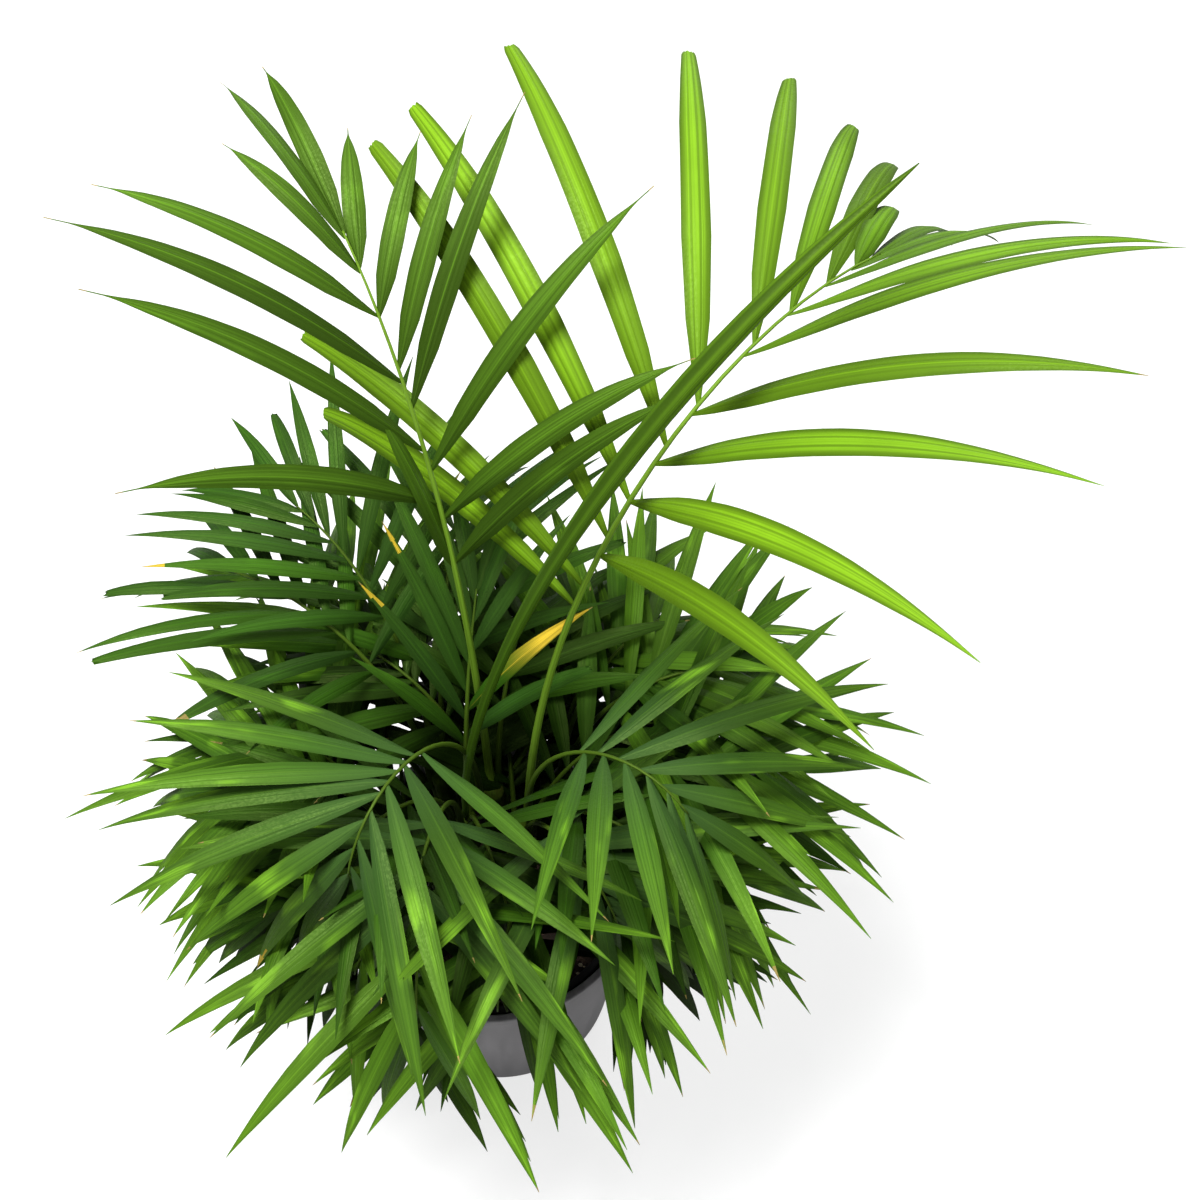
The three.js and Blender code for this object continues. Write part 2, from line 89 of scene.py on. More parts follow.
KINDS = {
    "tall": {"stride": 2, "width": 11, "first": 0.85, "last": 0.6},
    "mid": {
        "rise": 86, "fall": -26, "bend": 1.7, "petiole": 88, "rachis": 92, "stride": 4, "rows": 7,
        "blade": 114, "width": 12.5, "spread": (60, 20), "lift": (22, 13), "droop": 40, "first": 0.85,
        "last": 0.62,
    },
    "low": {
        "rise": 84, "fall": -42, "bend": 1.8, "petiole": 80, "rachis": 68, "stride": 4, "rows": 6,
        "blade": 124, "width": 12.5, "spread": (66, 22), "lift": (14, 8), "droop": 34, "first": 0.9,
        "last": 0.68,
    },
    "inner": {
        "rise": 78, "fall": -62, "bend": 1.2, "petiole": 30, "rachis": 52, "stride": 1, "rows": 5,
        "blade": 80, "width": 10, "spread": (62, 22), "lift": (14, 6), "droop": 46, "first": 0.9,
        "last": 0.66,
    },
    "hem": {
        "rise": 66, "fall": -60, "bend": 1.2, "petiole": 50, "rachis": 56, "stride": 4, "rows": 5,
        "blade": 103, "width": 12, "spread": (62, 24), "lift": (8, 4), "droop": 32, "first": 0.9,
        "last": 0.7,
    },
}
# Leaflets of the two tall fronds: place on the rib in hundredths, turn of the spread, turn of the lift and
# change of length in hundredths.
TALL_RIGHT = {
    1: (
        (14, -3, 0, 0), (27, 4, 1, 1), (36, -1, 0, 2), (48, 3, 0, 0), (63, 1, 0, 8), (75, 5, -3, 12),
        (85, 2, 3, 0), (92, -20, 0, -5), (98, -34, -14, 5),
    ),
    -1: (
        (1, -1, -6, -5), (6, -5, 1, 3), (18, -12, 8, 8), (27, -4, 5, 4), (40, 2, 4, 3), (50, -5, -2, -2),
        (66, 1, 0, 0), (76, 1, -2, -2), (86, 3, -4, -3), (94, 8, 10, -48),
    ),
}
TALL_LEFT = {
    1: (
        (21, -3, 0, 0), (33, 9, 4, -10), (45, 3, 0, 5), (60, -2, 0, 6), (69, 0, -2, -7), (81, 3, -7, -20),
        (92, -6, -7, -30), (100, -19, 0, 4),
    ),
    -1: (
        (20, -38, 6, -38), (37, 10, 0, 2), (50, 1, 0, 14), (66, 9, 2, 30), (81, 14, 0, 22),
        (91, -4, -3, -15), (99, -12, 2, 2),
    ),
}
FRONDS = [
    ("frond_tall_right", "tall", "right_centre", 49, {
        "swerve": -9, "rise": 85, "fall": -17, "bend": 1.64, "roll": 13, "petiole": 158, "rachis": 217,
        "blade": 200, "width": 13, "spread": (77, 17), "lift": (24, 24), "droop": 47,
        "leaflets": TALL_RIGHT,
    }),
    ("frond_tall_left", "tall", "back_centre", 105, {
        "swerve": 14, "rise": 85, "fall": 26, "bend": 1.67, "petiole": 110, "rachis": 195, "blade": 152,
        "spread": (54, 22), "lift": (35, 25), "droop": 46, "leaflets": TALL_LEFT,
    }),
    ("frond_back_left", "mid", "back_left", 112, {
        "swerve": 28, "roll": 11, "rise": 80, "fall": 2, "bend": 1.4, "petiole": 96, "rachis": 70,
        "blade": 114,
    }),
    ("frond_back_left_low", "mid", "back_left", 150, {"petiole": 88, "rachis": 88}),
    ("frond_back", "mid", "back_left", 88, {"fall": -30, "petiole": 78}),
    ("frond_front_left", "low", "back_centre", 218, {
        "swerve": 30, "rise": 90, "fall": -76, "bend": 2, "petiole": 110, "rachis": 74, "blade": 138,
        "width": 13.5,
    }),
    ("frond_front_right", "low", "right_centre", 5, {
        "swerve": -50, "rise": 93, "roll": 10, "bend": 2, "petiole": 112, "rachis": 64, "blade": 133,
        "width": 13.5,
    }),
    ("frond_heart", "mid", "centre", 78, {
        "rise": 88, "fall": 30, "bend": 1.2, "petiole": 48, "rachis": 80, "rows": 6, "blade": 96,
        "spread": (36, 14),
    }),
    ("frond_back_right", "low", "back_right", 44, {"fall": -52, "petiole": 66, "rachis": 60, "blade": 108}),
    ("frond_back_right_low", "low", "back_right", 12, {
        "fall": -36, "petiole": 74, "rachis": 70, "blade": 113,
    }),
    ("frond_left_high", "low", "left", 186, {
        "rise": 87, "fall": -36, "petiole": 66, "rachis": 51, "blade": 106,
    }),
    ("frond_right_high", "low", "right", 356, {"rise": 87, "fall": -36, "petiole": 84, "rachis": 70}),
    ("frond_left", "low", "left", 172, {"fall": -44, "petiole": 64, "rachis": 60, "blade": 115}),
    ("frond_right", "low", "right", 30, {"rise": 80, "fall": -36}),
    ("frond_left_low", "low", "left", 226, {"fall": -52, "petiole": 60, "rachis": 50, "blade": 101}),
    ("frond_right_low", "low", "right", 336, {"fall": -46, "petiole": 60, "rachis": 58, "blade": 113}),
    ("frond_front_high", "low", "centre", 258, {
        "rise": 90, "fall": -80, "petiole": 86, "rachis": 63, "blade": 131, "width": 13,
    }),
    ("frond_front_centre", "low", "right_centre", 306, {
        "rise": 90, "fall": -76, "petiole": 78, "rachis": 62, "blade": 131, "width": 13,
    }),
    ("frond_middle_left", "low", "front_left", 264, {
        "rise": 90, "fall": -70, "petiole": 84, "rachis": 54, "blade": 129, "width": 13,
    }),
    ("frond_middle_right", "low", "right", 250, {
        "rise": 90, "fall": -62, "petiole": 82, "rachis": 54, "blade": 124, "width": 13,
    }),
    ("frond_front", "low", "front_right", 262, {
        "rise": 88, "fall": -80, "petiole": 64, "rachis": 50, "blade": 115,
    }),
    ("frond_front_left_low", "low", "front_left", 236, {
        "rise": 85, "fall": -72, "petiole": 50, "rachis": 46, "blade": 113,
    }),
    ("frond_front_right_low", "low", "front_right", 328, {
        "rise": 86, "fall": -70, "petiole": 56, "rachis": 45, "blade": 99,
    }),
    ("frond_back_low", "low", "back_right", 84, {
        "rise": 80, "fall": -62, "petiole": 64, "rachis": 60, "blade": 108,
    }),
    ("frond_back_left_skirt", "low", "back_left", 128, {"rise": 78, "rachis": 66, "blade": 113}),
    ("frond_back_right_skirt", "low", "back_right", 26, {
        "rise": 72, "fall": -50, "rachis": 60, "blade": 113,
    }),
    ("frond_hem_left", "hem", "left", 184, {"rise": 70, "rachis": 51, "blade": 94}),
    ("frond_hem_front_left", "hem", "front_left", 248, {
        "rise": 76, "fall": -80, "rachis": 42, "blade": 99,
    }),
    ("frond_hem_front_right", "hem", "front_right", 330, {
        "rise": 74, "fall": -66, "rachis": 38, "blade": 85,
    }),
    ("frond_hem_right", "hem", "right", 350, {"rachis": 50, "blade": 92}),
    ("frond_hem_back_right", "hem", "right", 62, {}),
    ("frond_hem_back_left", "hem", "back_left", 106, {}),
]
# Fronds that fill the crown between those of the solids: kind, stem, heading and what differs.
FILLERS = [
    ("low", "centre", 236, {"rise": 90, "fall": -66, "petiole": 62, "rachis": 66, "blade": 102}),
    ("low", "right_centre", 322, {"rise": 90, "fall": -66, "petiole": 62, "rachis": 66, "blade": 102}),
    ("low", "centre", 278, {"rise": 90, "fall": -70, "petiole": 52, "rachis": 60, "blade": 98}),
    ("low", "left", 250, {"rise": 88, "fall": -66, "petiole": 60, "rachis": 56, "blade": 94}),
    ("low", "right", 306, {"rise": 88, "fall": -66, "petiole": 60, "rachis": 56, "blade": 94}),
    ("low", "left", 150, {"rise": 82, "fall": -56, "petiole": 60, "rachis": 60, "blade": 92}),
    ("low", "right", 10, {"rise": 80, "fall": -56, "petiole": 60, "rachis": 63, "blade": 92}),
    ("low", "back_right", 64, {"rise": 84, "fall": -52, "petiole": 52, "rachis": 60, "blade": 90}),
    ("low", "back_left", 172, {"rise": 84, "fall": -52, "petiole": 56, "rachis": 60, "blade": 92}),
    ("low", "back_centre", 76, {"rise": 84, "fall": -46, "petiole": 56, "rachis": 63, "blade": 92}),
    ("low", "back_centre", 142, {"rise": 84, "fall": -40, "petiole": 58, "rachis": 63, "blade": 94}),
    ("low", "right_centre", 28, {"rise": 86, "fall": -40, "petiole": 56, "rachis": 63, "blade": 94}),
    ("inner", "centre", 60, {}),
    ("inner", "right_centre", 96, {}),
    ("inner", "back_centre", 46, {}),
    ("inner", "back_centre", 112, {}),
    ("inner", "back_left", 60, {}),
    ("inner", "back_right", 108, {}),
    ("inner", "left", 96, {}),
    ("inner", "right", 76, {}),
    ("inner", "centre", 190, {}),
    ("inner", "right_centre", 340, {}),
    ("inner", "front_left", 160, {}),
    ("inner", "front_right", 20, {}),
    ("inner", "front_left", 300, {}),
    ("inner", "left", 220, {}),
    ("inner", "right", 310, {}),
]
SPEAR = {
    "stem": "centre", "heading": 31, "swerve": -3, "rise": 88, "fall": 28, "bend": 0.88, "roll": 0,
    "petiole": 0, "rachis": 410, "below": 0, "on_top": True,
}
# Radius of the spear in millimetres at shares of its length.
SPEAR_GIRTH = ((0, 1.6), (0.3, 2.2), (0.45, 3), (0.6, 4), (0.76, 4), (0.88, 3.1), (0.96, 1.7), (1, 0.2))
RIB = {"steps": 24, "foot": 2.2}
BLADE = {
    "steps": 12, "arch": 1.4, "fold": 0.16, "level": 0.45, "plumb": -86, "narrow": 0.75, "upright": 0.35,
}
ROWS = {"stagger": 0.35, "longest": 0.35, "end": 0.995}
VARY = {"spread": 4, "lift": 5, "growth": 0.06, "droop": 0.2}
FLOOR_CLEAR = 6
RIB_TURNS = (0, 4, -4, 8, -8, 12, -12, 16, -16, 20, -20, 25, -25)
ASIDE = (
    (0, 0), (0, 7), (0, -7), (5, 0), (-5, 0), (5, 8), (-5, 8), (5, -8), (-5, -8), (0, 14), (0, -14), (10, 0),
    (-10, 0), (9, 12), (-9, 12), (9, -12), (-9, -12), (0, 21), (0, -21), (14, 10), (-14, 10),
)
TRIMS = (1, 0.8, 0.6)

# How near a vertex of the solid has to be for a rib or leaflet to be the same one, and how far the leaflets
# and, where they can, the ribs that the solids don't hold stay from their neighbours.
SAME = 0.12
ROOM = {"rib": 4.5, "blade": 2.8}
# Distance between the feet of fillers down a cane, as a share of the solids' step.
CLOSER = 0.7
# Width of the finer leaflets as a share of the solids' plain ones.
SLIM = {"tall": 1, "mid": 0.66, "low": 0.8, "inner": 0.85, "hem": 0.78}
# How far short of its full reach a leaflet may stop, as a share of its length.
SHORT = {"tall": 0, "mid": 0.1, "low": 0.14, "inner": 0.1, "hem": 0.3}
# How many of the leaflets half-way between two rows grow, as a share.
BETWEEN = {"mid": 0, "low": 0.16, "hem": 0, "inner": 0.3}
# The lines of sight onto the pot's side: where they meet the pot, where they come from, and how clear of them
# an added leaflet stays.
SIGHT = {
    "headings": (275, 316), "heights": (62, 84, 106), "radius": 72, "from": (57, -405, 1000), "clear": 13,
}


def mix(a, b, share):
    return a + (b - a) * share


def ease(x):
    return x * x * (3 - 2 * x)


def scatter(i, j):
    """A steady scatter between -1 and 1."""
    v = math.sin(i * 12.9898 + j * 78.233) * 43758.5453
    return 2 * (v - math.floor(v)) - 1


def chance(i, j):
    """A steady chance between 0 and 1."""
    return scatter(i, j) * 0.5 + 0.5


def direction_of(heading, slope):
    h, e = math.radians(heading), math.radians(slope)
    return Vector((math.cos(e) * math.cos(h), math.cos(e) * math.sin(h), math.sin(e)))


def stem_axis(stem):
    return direction_of(stem["heading"], 90 - stem["lean"])


def stem_top(stem):
    return Vector((*stem["at"], STEM["soil"])) + stem_axis(stem) * stem["height"]


def rib_of(frond, turn):
    """All stations of a frond's rib, each a point and the directions along it, to its right and out of it."""
    step = (frond["petiole"] + frond["rachis"]) / RIB["steps"]
    point = stem_top(STEMS[frond["stem"]])
    if frond.get("on_top"):
        point.z += GAP + RIB["foot"]
    else:
        point += direction_of(frond["heading"] + turn, 0) * (STEM["top"] + 2 * GAP + RIB["foot"])
    point.z -= frond["below"]
    stations = []
    for i in range(RIB["steps"] + 1):
        share = i / RIB["steps"]
        heading = frond["heading"] + turn + frond["swerve"] * share
        along = direction_of(heading, mix(frond["rise"], frond["fall"], share ** frond["bend"]))
        flat = direction_of(heading - 90, 0)
        roll = math.radians(frond["roll"] * share)
        side = flat * math.cos(roll) + flat.cross(along) * math.sin(roll)
        stations.append((point.copy(), along, side, side.cross(along)))
        point = point + along * step
    return stations


def station_at(rib, share):
    place = min(share, 1 - 1e-6) * (len(rib) - 1)
    i, part = int(place), place % 1
    point, along, side, face = (a.lerp(b, part) for a, b in zip(rib[i], rib[i + 1]))
    return point, along.normalized(), side.normalized(), face.normalized()


def leaflets_of(frond):
    found = []
    if "leaflets" in frond:
        for side, rows in frond["leaflets"].items():
            for place, spread, lift, growth in rows:
                found.append({
                    "side": side, "share": place / 100, "spread": spread, "lift": lift,
                    "growth": 1 + growth / 100, "droop": 1,
                })
        return found
    for row in range(frond["rows"]):
        for side in (1, -1):
            found.append(row_leaflet(frond, row, side, row * 2 + (1 if side > 0 else 0)))
    return found


def row_leaflet(frond, row, side, seed):
    stagger = ROWS["stagger"] if side > 0 else 0
    return {
        "side": side,
        "share": (row + stagger) / (frond["rows"] - 1 + ROWS["stagger"]),
        "spread": VARY["spread"] * scatter(seed, frond["seed"]),
        "lift": VARY["lift"] * scatter(seed, frond["seed"] + 7),
        "growth": 1 + VARY["growth"] * scatter(seed, frond["seed"] + 13),
        "droop": 1 + VARY["droop"] * scatter(seed, frond["seed"] + 19),
    }


def finer_leaflets_of(frond):
    """Leaflets half-way between the rows of a frond."""
    if "leaflets" in frond:
        return []
    found = []
    for row in range(frond["rows"] - 1):
        for side in (1, -1):
            seed = 100 + row * 2 + (1 if side > 0 else 0)
            if chance(seed, frond["seed"] + 31) < BETWEEN[frond["kind"]]:
                found.append(row_leaflet(frond, row + 0.5, side, seed))
    return found


def blade_of(frond, leaflet, aside, trim):
    """A leaflet's midrib, as points with directions across and out of it, its half-width and its place."""
    share, side = leaflet["share"], leaflet["side"]
    leafy = frond["petiole"] / (frond["petiole"] + frond["rachis"])
    at = station_at(frond["rib"], mix(leafy, ROWS["end"], share))
    spread = math.radians(mix(*frond["spread"], share) + leaflet["spread"] + aside[0])
    lift = math.radians(mix(*frond["lift"], share) + leaflet["lift"] + aside[1])
    if share < ROWS["longest"]:
        swell = mix(frond["first"], 1, ease(share / ROWS["longest"]))
    else:
        swell = mix(1, frond["last"], ease((share - ROWS["longest"]) / (1 - ROWS["longest"])))
    length = frond["blade"] * swell * leaflet["growth"] * trim
    outward = at[2] * (side * math.cos(lift)) + at[3] * math.sin(lift)
    start = at[1] * math.cos(spread) + outward * math.sin(spread)
    face = at[3] * math.cos(lift) - at[2] * (side * math.sin(lift))
    slope = math.degrees(math.asin(start.z))
    heading = math.degrees(math.atan2(start.y, start.x))
    droop = frond["droop"] * leaflet["droop"] * mix(BLADE["upright"], 1, math.cos(math.radians(slope)))
    points, across, normals = [], [], []
    point = at[0].copy()
    for i in range(BLADE["steps"] + 1):
        t = i / BLADE["steps"]
        along = direction_of(heading, max(slope - droop * t ** BLADE["arch"], BLADE["plumb"]))
        level = BLADE["level"] * ease(t)
        normal = face * (1 - level) + UP * level
        normal = (normal - along * normal.dot(along)).normalized()
        points.append(point)
        across.append(along.cross(normal))
        normals.append(normal)
        point = point + along * (length / BLADE["steps"])
    return {
        "points": np.array(points), "across": np.array(across), "normals": np.array(normals),
        "half": frond["width"] / 2 * mix(BLADE["narrow"], 1, swell), "share": share, "side": side,
        "frond": frond,
    }


def tree_of(points):
    tree = kdtree.KDTree(len(points))
    for i, point in enumerate(points):
        tree.insert(point, i)
    tree.balance()
    return tree


def node_tree(name):
    return tree_of([v.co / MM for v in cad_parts[name].data.vertices])


def foot_corner(rib):
    """The first corner of the four-sided ring at a rib's foot."""
    point, _, side, face = rib[0]
    turn = math.radians(-45)
    return point + face * (RIB["foot"] * math.cos(turn)) + side * (RIB["foot"] * math.sin(turn))


def frond_of(name, kind, stem, heading, own, seed, below):
    frond = {"name": name, "kind": kind, "stem": stem, "heading": heading, "swerve": 0, "roll": 0}
    frond.update(KINDS[kind])
    frond.update(own)
    frond.update({"seed": seed, "below": below, "blades": []})
    return frond


def inside(points, low, high):
    return bool((points.min(0) > low).all() and (points.max(0) < high).all())


def sight_lines():
    """Foot and direction of each line of sight onto the pot's side."""
    for heading in SIGHT["headings"]:
        for height in SIGHT["heights"]:
            foot = direction_of(heading, 0) * SIGHT["radius"] + UP * height
            yield np.array(foot), np.array((Vector(SIGHT["from"]) - foot).normalized())


def hides_pot(points):
    """Whether a leaflet comes near a line of sight."""
    for foot, way in sight_lines():
        off = points - foot
        aside = off - (off @ way)[:, None] * way
        if (np.linalg.norm(aside, axis=1) < SIGHT["clear"]).any():
            return True
    return False


class Crown:
    """All fronds in their places: those of the solids, matched to the nodes, and the fillers between them."""

    def __init__(self):
        low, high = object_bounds()
        self.low, self.high = np.array(low) / MM, np.array(high) / MM
        self.low[2] = FLOOR_CLEAR
        self.fronds = []
        used = {}
        for i, (name, kind, stem, heading, own) in enumerate(FRONDS):
            used[stem] = used.get(stem, -1) + 1
            self.fronds.append(frond_of(name, kind, stem, heading, own, i + 1, used[stem] * STEM["step"]))
        self.solid = list(self.fronds)
        for frond in self.solid:
            self.match(frond)
        for i, (kind, stem, heading, own) in enumerate(FILLERS):
            used[stem] = used.get(stem, -1) + 1
            below = used[stem] * STEM["step"] * CLOSER
            frond = frond_of(f"filler_{i}", kind, stem, heading, own, 60 + i, below)
            self.place(frond)
        for frond in self.fronds:
            leaflets = finer_leaflets_of(frond)
            if frond not in self.solid:
                leaflets = leaflets_of(frond) + leaflets
            self.fill(frond, leaflets)

    def match(self, frond):
        """Takes the turns and trims that the solids took, read from where their corners are."""
        tree = node_tree(frond["name"])
        for turn in RIB_TURNS:
            rib = rib_of(frond, turn)
            if tree.find(foot_corner(rib))[2] < SAME:
                break
        else:
            raise RuntimeError(f"{frond['name']}: its rib isn't where the solid has it")
        frond["curve"] = rib
        frond["rib"] = rib[:: frond["stride"]]
        for leaflet in leaflets_of(frond):
            blade = self.matched(frond, leaflet, tree)
            if blade:
                frond["blades"].append(blade)

    def matched(self, frond, leaflet, tree):
        for trim in TRIMS:
            for aside in ASIDE:
                blade = blade_of(frond, leaflet, aside, trim)
                if tree.find(blade["points"][-1])[2] < SAME:
                    return blade
        return None

    def place(self, frond):
        """Finds room for the rib of a filler."""
        others = tree_of([station[0] for other in self.fronds for station in other["curve"]])
        best = None
        for turn in RIB_TURNS:
            rib = rib_of(frond, turn)
            room = min(others.find(station[0])[2] for station in rib[3:])
            if best is None or room > best[0]:
                best = (room, rib)
            if room > ROOM["rib"]:
                break
        frond["curve"] = best[1]
        frond["rib"] = best[1]
        self.fronds.append(frond)

    def fill(self, frond, leaflets):
        """Adds the leaflets of a frond that find room among those already there."""
        others = [other for other in self.fronds if other is not frond]
        taken = [point for other in others for blade in other["blades"] for point in blade["points"][1:]]
        taken += [station[0] for other in others for station in other["curve"]]
        tree = tree_of(taken)
        for leaflet in leaflets:
            for aside in ASIDE:
                blade = blade_of(frond, leaflet, aside, 1)
                if not inside(blade["points"], self.low, self.high) or hides_pot(blade["points"]):
                    continue
                if min(tree.find(point)[2] for point in blade["points"][1:]) > ROOM["blade"]:
                    frond["blades"].append(blade)
                    break


CROWN = Crown()


class PalmSizes(bpy.types.PropertyGroup):
    """Sizes of what the solids leave plain."""

    bead: FloatProperty(
        name="Rim bead", description="Roundness of the cover pot's rim", default=1.1 * MM, unit="LENGTH")
    fold: FloatProperty(
        name="Nursery pot's fold", description="Roundness of the nursery pot's lip and foot",
        default=0.8 * MM, unit="LENGTH")
    pleat: FloatProperty(
        name="Pleat", description="Depth of a leaflet's pleats", default=0.32 * MM, unit="LENGTH")
    rib_tip: FloatProperty(
        name="Rib tip", description="Radius of a rib at its tip", default=0.45 * MM, unit="LENGTH")
    grit: IntProperty(name="Grit", description="Pale grains in the soil", default=300, min=0)
    bark: IntProperty(name="Bark", description="Dark chips in the soil", default=520, min=0)


class PalmColours(bpy.types.PropertyGroup):
    """Base colours, as linear red, green and blue."""

    cover: FloatVectorProperty(
        name="Cover pot", description="Grey of the cover pot", subtype="COLOR", default=(0.22, 0.212, 0.22))
    nursery: FloatVectorProperty(
        name="Nursery pot", description="Black of the nursery pot", subtype="COLOR",
        default=(0.012, 0.012, 0.013))
    soil: FloatVectorProperty(
        name="Soil", description="Damp potting mix", subtype="COLOR", default=(0.03, 0.019, 0.011))
    grit: FloatVectorProperty(
        name="Grit", description="Pale grains in the mix", subtype="COLOR", default=(0.5, 0.44, 0.3))
    young: FloatVectorProperty(
        name="Young leaflets", description="The bright tall frond", subtype="COLOR",
        default=(0.13, 0.265, 0.006))
    grown: FloatVectorProperty(
        name="Grown leaflets", description="The second tall frond", subtype="COLOR",
        default=(0.035, 0.083, 0.004))
    dark: FloatVectorProperty(
        name="Dark leaflets", description="Fronds at the heart and back", subtype="COLOR",
        default=(0.019, 0.06, 0.007))
    leaf: FloatVectorProperty(
        name="Leaflets", description="Fronds of the skirt", subtype="COLOR", default=(0.027, 0.088, 0.004))
    fresh: FloatVectorProperty(
        name="Fresh green", description="Outer part of the skirt's leaflets", subtype="COLOR",
        default=(0.11, 0.245, 0.012))
    stem: FloatVectorProperty(
        name="Canes", description="Green of the canes and ribs", subtype="COLOR", default=(0.11, 0.21, 0.015))
    dry: FloatVectorProperty(
        name="Dry tips", description="Dried leaflet ends", subtype="COLOR", default=(0.3, 0.22, 0.07))
    yellow: FloatVectorProperty(
        name="Yellow tips", description="Yellowed leaflet ends", subtype="COLOR", default=(0.6, 0.4, 0.03))


class StageSizes(bpy.types.PropertyGroup):
    """Camera, floor and light."""

    across: FloatProperty(
        name="Across", description="Camera's place to the right", default=0.057, unit="LENGTH")
    back: FloatProperty(
        name="Back", description="Camera's place in front of the pot", default=0.405, unit="LENGTH")
    height: FloatProperty(name="Height", description="Camera's height", default=1.0, unit="LENGTH")
    pitch: FloatProperty(
        name="Pitch", description="How far the camera looks down", default=math.radians(56.2),
        subtype="ANGLE")
    lens: FloatProperty(
        name="Lens", description="Focal length in millimetres", default=54.0)
    sensor: FloatProperty(name="Sensor", description="Width of the sensor in millimetres", default=36.0)
    floor: FloatProperty(name="Floor", description="Half the width of the floor", default=4.0, unit="LENGTH")
    glow: FloatProperty(name="Floor glow", description="Glow of the floor in camera view", default=0.62)


def sizes():
    return bpy.context.scene.palm_sizes


def colours():
    return bpy.context.scene.palm_colours


def put(name, mesh, materials, node_names):
    """A finished piece: in the scene, on the one body, in place of its nodes."""
    piece = bpy.data.objects.new(name, mesh)
    bpy.context.scene.collection.objects.link(piece)
    for material in materials:
        mesh.materials.append(material)
    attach(piece, "root")
    if node_names:
        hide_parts(*node_names)


class Nodes:
    """Short hands for building a node tree."""

    def __init__(self, tree):
        self.tree = tree

    def feed(self, socket, value):
        """Links a socket to another one, or sets its value; a colour is given as red, green and blue."""
        if isinstance(value, bpy.types.NodeSocket):
            self.tree.links.new(value, socket)
        elif socket.type == "RGBA":
            socket.default_value = (*value[:3], 1)
        else:
            socket.default_value = value

    def add(self, kind, values=(), **settings):
        node = self.tree.nodes.new(kind)
        for key, value in settings.items():
            setattr(node, key, value)
        for key, value in dict(values).items():
            self.feed(node.inputs[key], value)
        return node

    def math(self, operation, a, b=0.0):
        return self.add("ShaderNodeMath", {0: a, 1: b}, operation=operation).outputs[0]

    def times(self, a, b):
        return self.math("MULTIPLY", a, b)

    def ramp(self, value, low, high, to_low=0.0, to_high=1.0):
        node = self.add(
            "ShaderNodeMapRange",
            {"Value": value, "From Min": low, "From Max": high, "To Min": to_low, "To Max": to_high},
            interpolation_type="SMOOTHSTEP",
        )
        return node.outputs["Result"]

    def colour(self, share, a, b):
        """Colour a turned into colour b by a share; each is a colour or a socket."""
        return self.add("ShaderNodeMix", {0: share, 6: a, 7: b}, data_type="RGBA").outputs[2]

    def stretched(self, vector, scale):
        return self.add("ShaderNodeMapping", {"Vector": vector, "Scale": scale}).outputs[0]

    def noise(self, vector, scale, detail, roughness):
        return self.add(
            "ShaderNodeTexNoise",
            {"Vector": vector, "Scale": scale, "Detail": detail, "Roughness": roughness},
        ).outputs["Fac"]


def shaded(colour, factor):
    return tuple(min(1.0, c * factor) for c in colour)


def new_material(name):
    """A material with a Nodes helper and its Principled BSDF."""
    material = bpy.data.materials.new(name)
    material.use_nodes = True
    return material, Nodes(material.node_tree), material.node_tree.nodes["Principled BSDF"]


def finish(nodes, shader, colour, roughness, bump):
    """Gives a shader its colour, its roughness and its bump: a strength, a depth in metres and a height."""
    strength, depth, height = bump
    relief = nodes.add("ShaderNodeBump", {"Strength": strength, "Distance": depth, "Height": height})
    nodes.feed(shader.inputs["Base Color"], colour)
    nodes.feed(shader.inputs["Roughness"], roughness)
    nodes.feed(shader.inputs["Normal"], relief.outputs[0])


# Tint of the shine on leaflets and canes.
SHEEN = (0.65, 1, 0.25)


def shine(nodes, shader, opened, inside, outside):
    """A green-tinted shine that dies away in the crown's heart."""
    nodes.feed(shader.inputs["Specular IOR Level"], nodes.ramp(opened, 0.0, 1.0, inside, outside))
    nodes.feed(shader.inputs["Specular Tint"], SHEEN)


def new_group(name, outputs, inputs=()):
    """A shader node group whose sockets are floats, with the inputs' defaults."""
    tree = bpy.data.node_groups.new(name, "ShaderNodeTree")
    for socket, default in inputs:
        made = tree.interface.new_socket(socket, in_out="INPUT", socket_type="NodeSocketFloat")
        made.default_value = default
    for socket in outputs:
        tree.interface.new_socket(socket, in_out="OUTPUT", socket_type="NodeSocketFloat")
    nodes = Nodes(tree)
    return nodes, nodes.add("NodeGroupInput").outputs, nodes.add("NodeGroupOutput").inputs


def shared(nodes, build):
    """A node of one of the groups below, which is built when it is first wanted."""
    name = build.__name__.replace("_", " ").title()
    tree = bpy.data.node_groups.get(name) or build(name)
    return nodes.add("ShaderNodeGroup", node_tree=tree)


